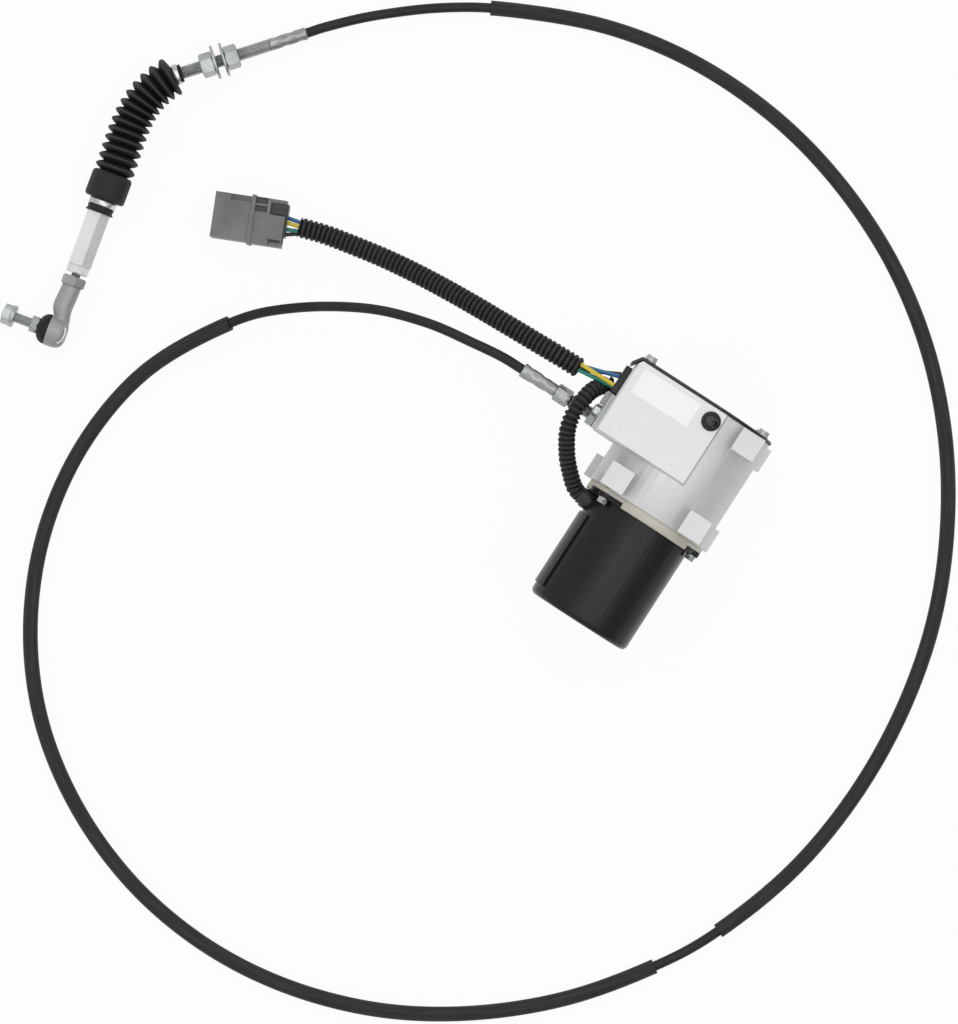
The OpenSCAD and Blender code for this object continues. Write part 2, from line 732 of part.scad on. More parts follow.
module motor_end_plate() color("tan") difference() {
    union() {
        difference() {
            union() {
                on_axis() rod_y(end_plate_d / 2, plate_y, rear_y);
                for (a = BOLT_ANGLES) on_axis() around(bolt_ring_r, a)
                    rod_y(bolt_head_r + 0.9, plate_y, rear_y);
            }
            can_ears(can_in_r - past, end_plate_d / 2 + past, 0.9 + past, ear_half + 0.4,
                plate_y - past, plate_y + ear_t);
        }
        on_axis() rod_y(can_in_r - slip, spigot_y, rear_y);
    }
    on_axis() rod_y(bearing_d / 2, front_bearing_y - bearing_w, rear_y + past);
    on_axis() rod_y(bearing_d / 2 - 2, spigot_y - past, rear_y);
    bolt_holes(plate_y - past, rear_y + past);
}

// Half of a closed can's section, with a rounded end
module can_profile(r, length, edge) {
    square([r - edge, length]);
    square([r, length - edge]);
    translate([r - edge, length - edge]) circle(r = edge);
}

module motor_can() color([0.1, 0.1, 0.1]) difference() {
    union() {
        on_axis() translate([0, plate_y, 0]) rotate([90, 0, 0]) rotate_extrude() {
            difference() {
                can_profile(can_r, can_len, can_edge);
                can_profile(can_in_r, can_len - can_wall, can_edge - can_wall);
            }
            // Seat of the rear bearing
            translate([bearing_d / 2 + run, can_len - can_wall - bearing_w]) square([1.5, bearing_w + 1]);
        }
        can_ears(can_in_r, end_plate_d / 2, 0.9, ear_half, plate_y, plate_y + ear_t);
        // Lap seam along the cable side
        on_axis() translate([0, plate_y - 13.5, 0]) rotate([90, 0, 0]) rotate([0, 0, 180 - seam_high])
            rotate_extrude(angle = seam_low + seam_high)
                translate([can_r - 0.5, 0]) square([seam_t + 0.5, can_len - 13.5 - 2 * can_edge]);
    }
    bolt_holes(plate_y - past, plate_y + ear_t + past);
}

module motor_bolts() color("silver") for (a = BOLT_ANGLES)
    on_axis() around(bolt_ring_r, a) {
        rod_y(bolt_tap_r - run, plate_y - bolt_washer_t / 2, rear_y + bolt_reach);
        rod_y(bolt_head_r, plate_y - bolt_washer_t, plate_y);
        rotate([0, 0, 90])
            hex_x(bolt_head_r * 1.7, plate_y - bolt_washer_t - bolt_head_h, plate_y - bolt_washer_t / 2);
    }

module field_magnets() color("slategray") for (a = [25, 205])
    on_axis() translate([0, core_y + 2, 0]) rotate([90, 0, 0]) rotate([0, 0, a]) rotate_extrude(angle = 130)
        translate([can_in_r - magnet_t, 0]) square([magnet_t - slip, armature_len + 4]);

module brush_plate() color("saddlebrown") difference() {
    union() {
        on_axis() rod_y(can_in_r - soft, brush_plate_y, spigot_y);
        for (turn = [0, 180]) on_axis() rotate([0, turn, 0])
            translate([commutator_d / 2 + 1, brush_y - 1.4, -4.5]) cube([11, brush_plate_y - brush_y + 2, 9]);
    }
    on_axis() rod_y(commutator_d / 2 + 1, commutator_y - commutator_len, spigot_y + past);
    for (turn = [0, 180]) on_axis() rotate([0, turn, 0])
        translate([commutator_d / 2 - 1, brush_y, -brush_w / 2]) cube([12, brush_w, brush_w]);
}

module brushes() color("dimgray") for (turn = [0, 180]) on_axis() rotate([0, turn, 0])
    translate([commutator_d / 2 + soft, brush_y + slip, slip - brush_w / 2])
        cube([10, brush_w - 2 * slip, brush_w - 2 * slip]);

module motor_bearings() color("silver") for (y = [front_bearing_y - bearing_w, rear_bearing_y])
    on_axis() difference() {
        rod_y(bearing_d / 2, y, y + bearing_w);
        rod_y(shaft_d / 2 + run, y - past, y + bearing_w + past);
    }

module motor_shaft() color("silver") on_axis() rod_y(shaft_d / 2, rear_bearing_y + 0.5, shaft_end_y);

module armature_core() color("gray") on_axis() plate_y(core_y - armature_len, core_y) difference() {
    circle(d = armature_d);
    circle(d = shaft_d);
    for (i = [0:11]) rotate(30 * i) translate([armature_d / 2 - 9, -1.2]) square([12, 2.4]);
}

module armature_windings() color("chocolate") on_axis()
    for (y = [core_y, core_y - armature_len - winding_len]) difference() {
        rod_y(armature_d / 2 - 3, y, y + winding_len);
        rod_y(shaft_d / 2 + 2, y - past, y + winding_len + past);
    }

module commutator() color("peru") on_axis()
    plate_y(commutator_y - commutator_len, commutator_y) difference() {
        circle(d = commutator_d);
        circle(d = shaft_d);
        for (i = [0:11]) rotate(30 * i + 15) translate([commutator_d / 2 - 1, -0.25]) square([2, 0.5]);
    }

module motor_pinion() color("goldenrod") on_axis()
    spur_gear(gear_m, pinion_teeth, pinion_y0, pinion_y0 + motor_pinion_len, angle_to_pin, shaft_d / 2);

// Gear train

module gear_pin() color("silver") on_pin() rod_y(gear_pin_d / 2, rear_y + 2, bridge_front_y);

module double_gear() color("goldenrod") on_pin() {
    bore = gear_pin_d / 2 + run;
    spur_gear(gear_m, gear_teeth, double_y0, double_y1, angle_to_pin + 180 + 180 / gear_teeth, bore);
    spur_gear(gear_m, pinion_teeth, double_y1, small_pinion_end_y, angle_to_output, bore);
    // Hubs that space the gear between the rear wall and the bridge
    difference() {
        union() {
            rod_y(gear_hub_r, rear_y + rear_wall + soft, double_y0);
            rod_y(gear_hub_r, small_pinion_end_y, bridge_y - soft);
        }
        rod_y(bore, rear_y, bridge_y);
    }
}

module output_shaft() color("silver") on_output() {
    rod_y(output_d / 2, output_gear_y - 1, pot_y);
    rod_y(output_d / 2 - 1, pot_y, pot_y + 8.5);
    difference() {
        union() {
            rod_y(output_d / 2 + 1.2, output_gear_y + gear_w, cable_y - rack_w / 2);
            rod_y(output_d / 2 + 1.2, cable_y + rack_w / 2, bridge_y - soft);
        }
        rod_y(output_d / 2, output_gear_y, pot_y);
    }
}

module output_gear() color("goldenrod") on_output() spur_gear(gear_m, gear_teeth, output_gear_y,
    output_gear_y + gear_w, angle_to_output + 180 + 180 / gear_teeth, output_d / 2);

module rack_pinion() color("silver") on_output() spur_gear(rack_m, rack_pinion_teeth, cable_y - rack_w / 2,
    cable_y + rack_w / 2, 90, output_d / 2, 0.9, 1.15);

module bridge_plate() color("darkgray") difference() {
    union() {
        on_axis() rod_y(bore_r - slip, bridge_y, bridge_front_y);
        on_output() rod_y(bridge_hub_r, bridge_y, pot_y);
    }
    on_output() rod_y(bush_r, bridge_y - past, pot_y + past);
    on_pin() rod_y(gear_pin_d / 2, bridge_y - past, bridge_front_y + past);
    for (a = POST_ANGLES) on_axis() around(post_ring_r, a)
        rod_y(bridge_screw_r + slip, bridge_y - past, bridge_front_y + past);
}

module bridge_screws() color("silver") for (a = POST_ANGLES)
    on_axis() around(post_ring_r, a) {
        rod_y(bridge_screw_r, bridge_y - bridge_screw_reach, bridge_front_y);
        rod_y(bridge_screw_head_r, bridge_front_y, bridge_front_y + bridge_screw_head_h);
    }

module output_bush() color("peru") on_output() difference() {
    rod_y(bush_r, bridge_y, pot_y);
    rod_y(output_d / 2 + run, bridge_y - past, pot_y + past);
}

module potentiometer() color("darkgreen") on_output() difference() {
    union() {
        rod_y(bridge_hub_r, pot_y, pot_y + 9.5);
        translate([-5, pot_y + 2, -bridge_hub_r - 4]) cube([10, 6, 6]);
    }
    rod_y(output_d / 2 - 1 + run, pot_y - past, pot_y + 9);
}

module rack_guide() color("ivory") translate([0, cable_y, 0]) difference() {
    translate([box_in_left + 0.5, -guide_w / 2, rack_root_z + 0.4])
        cube([box_in_right - box_in_left - 1, guide_w, box_in_top - rack_root_z - 0.4]);
    translate([box_in_left, -rack_w / 2 - slip, rack_root_z - past])
        cube([box_in_right - box_in_left, rack_w + 2 * slip, rack_h + past + slip]);
}

module cable_rack() color("silver") plate_y(cable_y - rack_w / 2, cable_y + rack_w / 2) {
    half = rack_pitch / 4 - backlash / 2;
    slope = tan(pressure_angle) * rack_m;
    translate([rack_x0, rack_root_z]) square([rack_x1 - rack_x0, rack_h]);
    for (k = [0:rack_teeth - 1]) translate([rack_x0 + (k + 0.5) * rack_pitch, rack_pitch_z]) polygon([
        [-half - slope * 1.1, 1.1 * rack_m], [-half + slope * 0.9, -0.9 * rack_m],
        [half - slope * 0.9, -0.9 * rack_m], [half + slope * 1.1, 1.1 * rack_m]
    ]);
}

module core_wire_near() color("silver") on_cable() rod_x(core_r, cable_x + stroke + 5, rack_x0);

// Cable side of the box

module cable_bracket() color("darkgray") difference() {
    union() {
        translate([bracket_x, -box_rear + 0.5, cable_z - 11])
            cube([bracket_t, bracket_y1 + box_rear - 0.5, 28]);
        translate([bracket_x - 3.5, shelf_y, cable_z + 3]) cube([4, bracket_y1 - shelf_y, bracket_t]);
    }
    on_cable() rod_x(thread_d / 2 + slip, bracket_x - past, -box_left + past);
    translate([0, clamp_bolt_y, clamp_bolt_z]) rod_x(2.05, bracket_x - past, -box_left + past);
}

module bracket_bolt() color("gainsboro") translate([0, clamp_bolt_y, clamp_bolt_z]) {
    rod_x(2, bracket_x - 0.5, box_in_left);
    rod_x(4.2, bracket_x - 1, bracket_x);
    hex_x(7, bracket_x - 4, bracket_x - 0.5, 30);
}

module cable_fitting() color("silver") on_cable() difference() {
    union() {
        rod_x(thread_d / 2, fitting_hex_x, box_in_left);
        hex_x(fitting_af, ferrule_x, fitting_hex_x);
        rod_x(ferrule_d / 2, cable_x, ferrule_x);
    }
    rod_x(core_bore_r, cable_x + 3, box_in_left + past);
}

module fitting_lock_nut() color("gainsboro") on_cable() difference() {
    nut_x(nut_af, lock_nut_x, bracket_x);
    rod_x(thread_d / 2, lock_nut_x - past, bracket_x + past);
}

module wire_grommet() color([0.12, 0.12, 0.12]) {
    inset = grommet_lip + slip;
    translate([-box_left - grommet_t, grommet_y0, grommet_z0]) cube([grommet_t, grommet_w, grommet_h]);
    translate([-box_left, grommet_y0 + inset, grommet_z0 + inset])
        cube([box_wall + 1, grommet_w - 2 * inset, grommet_h - 2 * inset]);
}

module motor_lead_gland() color([0.12, 0.12, 0.12]) difference() {
    translate([0, gland_y, gland_z]) {
        rod_x(gland_r, gland_x, -can_r * 0.7);
        rod_x(gland_r + 1, -can_r - 4, -can_r * 0.7);
    }
    on_axis() rod_y(can_r, plate_y - can_r, plate_y + past);
    translate([gland_x - past, plate_y - slip, axis_z - can_r]) cube([can_r, can_r, 2 * can_r]);
}

// Harness

module motor_lead_tube() color([0.12, 0.12, 0.12]) cord(LEAD_ROUTE, 0, len(LEAD_ROUTE) - 1, lead_d, 1);

module harness_tube() color([0.12, 0.12, 0.12])
    cord(HARNESS_ROUTE, 0, len(HARNESS_ROUTE) - 1, harness_d, 1);

module near_wires() {
    shades = ["gold", "steelblue", "seagreen", "black"];
    for (i = [0:3]) color(shades[i]) wire(NEAR_WIRES[i][0], NEAR_WIRES[i][1]);
}

module far_wires() at_connector() {
    shades = ["steelblue", "gold", "seagreen", "black"];
    for (i = [0:3]) color(shades[i]) wire(FAR_WIRES[i][0], FAR_WIRES[i][1]);
}

// A block in the connector's frame, given by its ends along X and its width and thickness
module connector_block(x0, x1, w, t) translate([x0, -w / 2, -t / 2]) cube([x1 - x0, w, t]);

module connector_shell() color("gray") at_connector() difference() {
    union() {
        connector_block(shell_x0, 0, connector_w, connector_t);
        connector_block(0, shell_x1, connector_w + 0.8, connector_t);
        connector_block(-connector_rib, connector_rib,
            connector_w + 2 * connector_rib, connector_t + 2 * connector_rib);
    }
    // Mouth for the mating plug
    connector_block(shell_x0 - past, shell_x0 + mouth_depth, mouth_w, mouth_h);
    // Seat of the rear retainer
    connector_block(retainer_x, shell_x1 + past, mouth_w, mouth_h);
    // Key groove and lock windows in the upper face
    translate([-14, connector_w / 2 - 3.6, connector_t / 2 - 1]) cube([12.8, 3.8, 2]);
    for (y = [connector_w / 2 - 3.6, connector_w / 2 - 8.4])
        translate([connector_rib, y, connector_t / 2 - 2.6]) cube([7.4, 3.6, 4]);
    // Notches at the rear edges, open to the retainer
    translate([retainer_x + 0.6, connector_w / 2 - notch_w, mouth_h / 2 - 0.2])
        cube([shell_x1, notch_w + past, connector_t]);
    translate([retainer_x + 1.8, -connector_w / 2 - past, mouth_h / 2 - 0.2])
        cube([shell_x1, notch_w * 0.36 + past, connector_t]);
}

module connector_retainer() color([0.15, 0.15, 0.15]) at_connector() difference() {
    union() {
        connector_block(retainer_x, retainer_x + retainer_len, mouth_w - 2 * slip, mouth_h - 2 * slip);
        // Latch and rail that stand in the shell's notch
        for (y = [connector_w / 2 - notch_w + 1.1, connector_w / 2 - 5.2])
            translate([retainer_x + 2.6, y, mouth_h / 2 - past]) cube([retainer_len - 3, 3, past + 1.3]);
    }
    translate([shell_x1 - 1, -connector_w, -connector_t]) cube([10, connector_w * 0.72, 2 * connector_t]);
    for (p = FAR_WIRES) wire(p[0], p[1]);
}

module connector_pins() color("goldenrod") at_connector() for (y = [-7.5, -2.5, 2.5, 7.5], z = [-3, 3])
    translate([shell_x0 + mouth_depth - 5, y - 0.9, z - 0.4]) cube([5, 1.8, 0.8]);

// Control cable

module conduit_near() color([0.1, 0.1, 0.1]) cord(CABLE_ROUTE, 0, sleeve2_start, conduit_d);

module sleeve_2() color([0.16, 0.16, 0.16]) cord(CABLE_ROUTE, sleeve2_start, sleeve2_end, sleeve_d);

module conduit_middle() color([0.1, 0.1, 0.1]) cord(CABLE_ROUTE, sleeve2_end, sleeve1_start, conduit_d);

module sleeve_1() color([0.16, 0.16, 0.16]) cord(CABLE_ROUTE, sleeve1_start, sleeve1_end, sleeve_d);

module conduit_far() color([0.1, 0.1, 0.1]) cord(CABLE_ROUTE, sleeve1_end, len(CABLE_ROUTE) - 1, conduit_d);

module cable_hub() color("silver") at_hub() difference() {
    union() {
        rod_x(ferrule_d / 2, 0, ferrule_len);
        rod_x(thread_d / 2, ferrule_len, hub_end_x);
    }
    rod_x(core_bore_r, 4, hub_end_x + past);
}

module hub_nuts() color("gainsboro") at_hub() for (x = [hub_nut_x, hub_nut2_x]) difference() {
    nut_x(nut_af, x, x + nut_h, 18);
    rod_x(thread_d / 2, x - past, x + nut_h + past);
}

module hub_washers() color("silver") at_hub() for (x = [hub_washer_x, hub_washer2_x]) difference() {
    rod_x(washer_d / 2, x, x + washer_t);
    rod_x(thread_d / 2 + slip, x - past, x + washer_t + past);
}

// Boot: a neck on the hub, the folds on a curve, and a cuff on the coupling

function in_plane(x, y, angle, along) = [x + along * cos(angle), y + along * sin(angle), far_z];

function along_hub(x) = in_plane(hub_x, hub_y, hub_angle, x);

function along_rod(x) = in_plane(rod_x, rod_y, rod_angle, x);

function heading(a) = [cos(a), sin(a), 0];

bend_start = along_hub(hub_end_x);
bend_end = along_rod(cuff_x);
bend_in = bend_start + 28 * heading(hub_angle + 12);
bend_out = bend_end - 26 * heading(rod_angle);

function bend(f) = pow(1 - f, 3) * bend_start + 3 * f * pow(1 - f, 2) * bend_in
    + 3 * f * f * (1 - f) * bend_out + f * f * f * bend_end;

function bend_dir(f) = pow(1 - f, 2) * (bend_in - bend_start) + 2 * f * (1 - f) * (bend_out - bend_in)
    + f * f * (bend_end - bend_out);

function straight(points_at, angle, list) = [for (p = list) [points_at(p[0]), heading(angle), p[1]]];

module bellows_boot() color([0.08, 0.08, 0.08]) {
    root = bellows_root_d / 2;
    crest = bellows_d / 2;
    sides = 24;
    fold_shape = [[0.02, root], [0.34, crest], [0.66, crest], [0.98, root]];
    outside = concat(
        straight(function(x) along_hub(x), hub_angle, [
            [boot_x, boot_neck_r + 0.4], [boot_x + boot_lip, boot_neck_r + 0.4],
            [boot_x + boot_lip, boot_neck_r], [hub_end_x - 0.4, boot_neck_r]
        ]),
        [for (i = [0:folds - 1], s = fold_shape) let (f = (i + s[0]) / folds) [bend(f), bend_dir(f), s[1]]],
        straight(function(x) along_rod(x), rod_angle, [
            [cuff_x + 0.4, cuff_d / 2 - 1.5], [cuff_x + 1.9, cuff_d / 2],
            [cuff_x + cuff_len - 1.5, cuff_d / 2], [cuff_x + cuff_len, cuff_d / 2 - 1.5],
            [cuff_x + cuff_len, cuff_neck_r], [-cuff_lip, cuff_neck_r],
            [-cuff_lip, cuff_neck_r + 1], [0, cuff_neck_r + 0.4]
        ])
    );
    inside = concat(
        straight(function(x) along_hub(x), hub_angle, [
            [boot_x - past, thread_d / 2 + slip], [hub_end_x, thread_d / 2 + slip]
        ]),
        [for (i = [1:7]) let (f = i / 8) [bend(f), bend_dir(f), root - 2]],
        straight(function(x) along_rod(x), rod_angle, [[cuff_x + 0.2, cuff_bore_r], [past, cuff_bore_r]])
    );
    difference() {
        sweep(outside, sides);
        sweep(inside, sides);
    }
}

module core_wire_far() color("silver")
    sweep([for (i = [0:8]) let (f = i / 8) [bend(f), bend_dir(f), core_r]], 8);

module hub_band() color("silver") at_hub() difference() {
    rod_x(boot_neck_r + 1.1, hub_band_x + slip, hub_band_x + hub_band_w);
    rod_x(boot_neck_r + slip, boot_x, hub_end_x);
}

module cuff_band() color("silver") at_rod() difference() {
    rod_x(cuff_neck_r + soft + 0.7, cuff_x + cuff_len + soft, -cuff_lip - soft);
    rod_x(cuff_neck_r + soft, cuff_x, 0);
}

// Rod end

module hex_coupling() color("gainsboro") at_rod() difference() {
    union() {
        rod_x(spigot_r, cuff_x, 0);
        hex_x(coupling_af, 0, coupling_len, -15);
    }
    rod_x(rod_thread_d / 2, coupling_len - 14, coupling_len + past);
}

module jam_nut() color("silver") at_rod() difference() {
    nut_x(jam_af, jam_x, jam_x + jam_h);
    rod_x(rod_thread_d / 2, jam_x - past, jam_x + jam_h + past);
}

// The hollow for the ball, open towards the stud
module socket_seat() rotate([-90, 0, 0]) rotate_extrude() {
    seat_r = ball_r + run;
    intersection() {
        circle(r = seat_r);
        translate([0, -seat_r]) square([seat_r, 2 * seat_r]);
    }
    square([socket_mouth_r, socket_near + past]);
}

module ball_socket() color("darkgray") difference() {
    union() {
        at_rod() rod_x(rod_thread_d / 2, coupling_len - 13, collar_x);
        at_rod() rod_x(collar_r, collar_x, collar_x + collar_len);
        at_rod() rod_x(shank_r, collar_x + collar_len, neck_x);
        at_rod() translate([neck_x, 0, 0]) rotate([0, 90, 0])
            cylinder(r1 = shank_r, r2 = neck_r, h = socket_x - socket_r - neck_x);
        at_rod() rod_x(neck_r, socket_x - socket_r, socket_x - socket_r * 0.7);
        at_ball() rotate([-90, 0, 0]) rotate_extrude() polygon([
            [0, -socket_far], [socket_r * 0.62, -socket_far], [socket_r * 0.86, -socket_far + 1.3],
            [socket_r, -socket_far + 3.6], [socket_r, socket_near], [0, socket_near]
        ]);
    }
    at_ball() socket_seat();
}

module dust_boot() color([0.1, 0.1, 0.1])
    at_ball() translate([0, socket_near + soft, 0]) rotate([-90, 0, 0]) rotate_extrude() polygon([
        [socket_r - 1.6, 0], [socket_r - 0.3, 0], [socket_r - 0.1, 1.6], [socket_r - 1, 3.8],
        [stud_neck_r + 3.4, dust_boot_h], [stud_neck_r + soft, dust_boot_h],
        [stud_neck_r + soft, dust_boot_h - 1.6], [stud_neck_r + 2.4, dust_boot_h - 2.4], [socket_r - 2.6, 2]
    ]);

module ball_stud() color("silver") at_ball() {
    sphere(r = ball_r);
    rod_y(stud_neck_r, 0, stud_end_y);
    rotate([0, 0, 90]) hex_x(stud_hex_af, stud_hex_y, stud_thread_y);
}

module flange_nut() color("gainsboro") at_ball() difference() {
    union() {
        rod_y(flange_r, flange_y, flange_y + flange_h);
        rotate([0, 0, 90]) hex_x(flange_nut_af, flange_y + flange_h, flange_y + flange_nut_h, 30);
    }
    rod_y(stud_d / 2, stud_hex_y, stud_end_y + past);
}

gear_housing();
cover_gasket();
top_cover();
cover_screws();
vent_plug();
motor_end_plate();
motor_can();
motor_bolts();
field_magnets();
brush_plate();
brushes();
motor_bearings();
motor_shaft();
armature_core();
armature_windings();
commutator();
motor_pinion();
gear_pin();
double_gear();
output_shaft();
output_gear();
rack_pinion();
bridge_plate();
bridge_screws();
output_bush();
potentiometer();
rack_guide();
cable_rack();
core_wire_near();
cable_bracket();
bracket_bolt();
cable_fitting();
fitting_lock_nut();
wire_grommet();
motor_lead_gland();
motor_lead_tube();
near_wires();
harness_tube();
far_wires();
connector_shell();
connector_retainer();
connector_pins();
conduit_near();
sleeve_2();
conduit_middle();
sleeve_1();
conduit_far();
cable_hub();
hub_nuts();
hub_washers();
hub_band();
bellows_boot();
core_wire_far();
cuff_band();
hex_coupling();
jam_nut();
ball_socket();
dust_boot();
ball_stud();
flange_nut();
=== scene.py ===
"""An engine governor actuator with its push-pull cable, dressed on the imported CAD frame."""
import json
import math

import bmesh
import bpy
from mathutils import Matrix, Vector

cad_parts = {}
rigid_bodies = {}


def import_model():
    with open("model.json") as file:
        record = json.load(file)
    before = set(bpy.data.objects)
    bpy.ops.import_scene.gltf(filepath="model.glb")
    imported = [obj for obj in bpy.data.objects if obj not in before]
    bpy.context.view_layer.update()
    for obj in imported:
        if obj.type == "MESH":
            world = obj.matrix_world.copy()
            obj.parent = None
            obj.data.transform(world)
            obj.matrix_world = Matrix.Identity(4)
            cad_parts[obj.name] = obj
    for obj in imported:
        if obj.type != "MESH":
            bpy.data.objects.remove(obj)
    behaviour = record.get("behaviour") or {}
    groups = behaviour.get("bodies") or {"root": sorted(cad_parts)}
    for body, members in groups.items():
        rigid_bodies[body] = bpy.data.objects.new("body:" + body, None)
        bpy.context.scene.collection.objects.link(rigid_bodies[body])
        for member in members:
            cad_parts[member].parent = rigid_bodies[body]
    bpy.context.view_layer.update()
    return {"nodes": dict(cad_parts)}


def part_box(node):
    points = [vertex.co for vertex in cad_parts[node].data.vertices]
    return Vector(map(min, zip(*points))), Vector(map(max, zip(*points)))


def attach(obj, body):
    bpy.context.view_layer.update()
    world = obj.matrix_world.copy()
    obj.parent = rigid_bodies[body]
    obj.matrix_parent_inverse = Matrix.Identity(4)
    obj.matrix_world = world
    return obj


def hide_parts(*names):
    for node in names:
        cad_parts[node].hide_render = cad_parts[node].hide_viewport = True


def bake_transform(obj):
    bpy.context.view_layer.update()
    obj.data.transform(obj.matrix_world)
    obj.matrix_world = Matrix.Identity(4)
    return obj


for leftover in list(bpy.data.objects):
    bpy.data.objects.remove(leftover)
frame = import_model()


# Camera and table: the actuator lies on a white table and is seen from straight above.
# The view is turned so that the motor points down and to the left of the picture.
PICTURE_TURN = math.radians(32.8)
CAMERA_AT = (-0.0849, -0.0903, 2.544)
CAMERA_LENS = 146.48

camera = bpy.data.objects.new("camera", bpy.data.cameras.new("camera"))
camera.data.sensor_width = 36
camera.data.lens = CAMERA_LENS
camera.location = CAMERA_AT
camera.rotation_euler = (0, 0, PICTURE_TURN)
bpy.context.collection.objects.link(camera)
bpy.context.scene.camera = camera
bpy.context.scene.view_settings.view_transform = "Standard"


class Wire:
    """A socket in a node tree; sums on it add Math nodes to that tree."""

    def __init__(self, tree, socket=None):
        self.tree = tree
        self.socket = socket

    def node(self, kind, settings=(), sockets=(), out=0):
        """A new node with its settings, then its sockets' values or links; gives one output."""
        made = self.tree.nodes.new(kind)
        for name, value in dict(settings).items():
            setattr(made, name, value)
        for name, value in dict(sockets).items():
            if isinstance(value, Wire):
                self.tree.links.new(value.socket, made.inputs[name])
            else:
                made.inputs[name].default_value = value
        return Wire(self.tree, made.outputs[out] if made.outputs else None)

    def of(self, output):
        """Another output of the same node."""
        return Wire(self.tree, self.socket.node.outputs[output])

    def math(self, operation, a, b=0.0):
        """One Math node on one or two values."""
        return self.node("ShaderNodeMath", {"operation": operation}, {0: a, 1: b})

    def colour(self, low, high):
        """A colour between two, by this value."""
        return self.node("ShaderNodeMix", {"data_type": "RGBA"}, {0: self, 6: low, 7: high}, 2)

    def band(self, start, end):
        """0 below start, 1 above end, smooth between."""
        return self.node("ShaderNodeMapRange", {"interpolation_type": "SMOOTHSTEP"},
                         {"Value": self, "From Min": start, "From Max": end})

    def into(self, node, socket):
        """Links this value to a node's socket."""
        self.tree.links.new(self.socket, node.inputs[socket])

    def __add__(self, other):
        return self.math("ADD", self, other)

    __radd__ = __add__

    def __sub__(self, other):
        return self.math("SUBTRACT", self, other)

    def __rsub__(self, other):
        return self.math("SUBTRACT", other, self)

    def __mul__(self, other):
        return self.math("MULTIPLY", self, other)

    def __truediv__(self, other):
        return self.math("DIVIDE", self, other)

    def __pow__(self, power):
        return self.math("POWER", self, power)


def seen_rays(tree):
    """1 for rays that show the background: straight, mirrored or through glass."""
    path = Wire(tree).node("ShaderNodeLightPath")
    seen = path.of("Is Camera Ray") + path.of("Is Glossy Ray") + path.of("Is Transmission Ray")
    return seen.math("MINIMUM", seen, 1.0)


table_paint = bpy.data.materials.new("table_white")
table_paint.use_nodes = True
tree = table_paint.node_tree
tree.nodes.remove(tree.nodes["Principled BSDF"])
matt = Wire(tree).node("ShaderNodeBsdfDiffuse", {}, {"Color": (0.86, 0.86, 0.86, 1)})
glow = Wire(tree).node("ShaderNodeEmission", {}, {"Color": (1, 1, 1, 1), "Strength": 1.0})
mixed = matt.node("ShaderNodeMixShader", {}, {0: seen_rays(tree) * 0.94, 1: matt, 2: glow})
mixed.into(tree.nodes["Material Output"], "Surface")

table_mesh = bpy.data.meshes.new("table")
table_mesh.from_pydata([(-4, -4, 0), (4, -4, 0), (4, 4, 0), (-4, 4, 0)], [], [(0, 1, 2, 3)])
table_mesh.materials.append(table_paint)
table = bpy.data.objects.new("table", table_mesh)
bpy.context.collection.objects.link(table)


# Studio light: a pale room that is greyer towards the housing's right side.
# A broad lamp overhead and one long lamp along the motor give the soft highlights.
room = bpy.data.worlds.new("studio")
bpy.context.scene.world = room
room.use_nodes = True
tree = room.node_tree
way = Wire(tree).node("ShaderNodeTexCoord")
axes = way.node("ShaderNodeSeparateXYZ", {}, {0: way.of("Generated")})
shade = (axes.of("X") * 0.75 - axes.of("Y") * 0.25 - axes.of("Z") * 0.55).band(-0.05, 0.75)
backdrop = tree.nodes["Background"]
straight = way.node("ShaderNodeLightPath").of("Is Camera Ray")
(shade * (1 - straight)).colour((1, 1, 1, 1), (0.34, 0.35, 0.36, 1)).into(backdrop, "Color")
(0.73 + seen_rays(tree) * 0.19 + straight * 0.08).into(backdrop, "Strength")

for lamp_name, watts, wide, long, at, aim in (
    ("overhead_lamp", 5.0, 1.4, 1.4, (-0.55, 0.45, 1.9), (-0.05, 0.0, 0.0)),
    ("strip_lamp", 1.6, 0.16, 1.1, (0.30, -0.06, 1.2), (0.0, -0.06, 0.05)),
):
    lamp = bpy.data.objects.new(lamp_name, bpy.data.lights.new(lamp_name, "AREA"))
    lamp.data.shape = "RECTANGLE"
    lamp.data.size, lamp.data.size_y = wide, long
    lamp.data.energy = watts
    lamp.location = at
    lamp.rotation_euler = (Vector(at) - Vector(aim)).to_track_quat("Z", "Y").to_euler()
    lamp.visible_camera = False
    bpy.context.collection.objects.link(lamp)


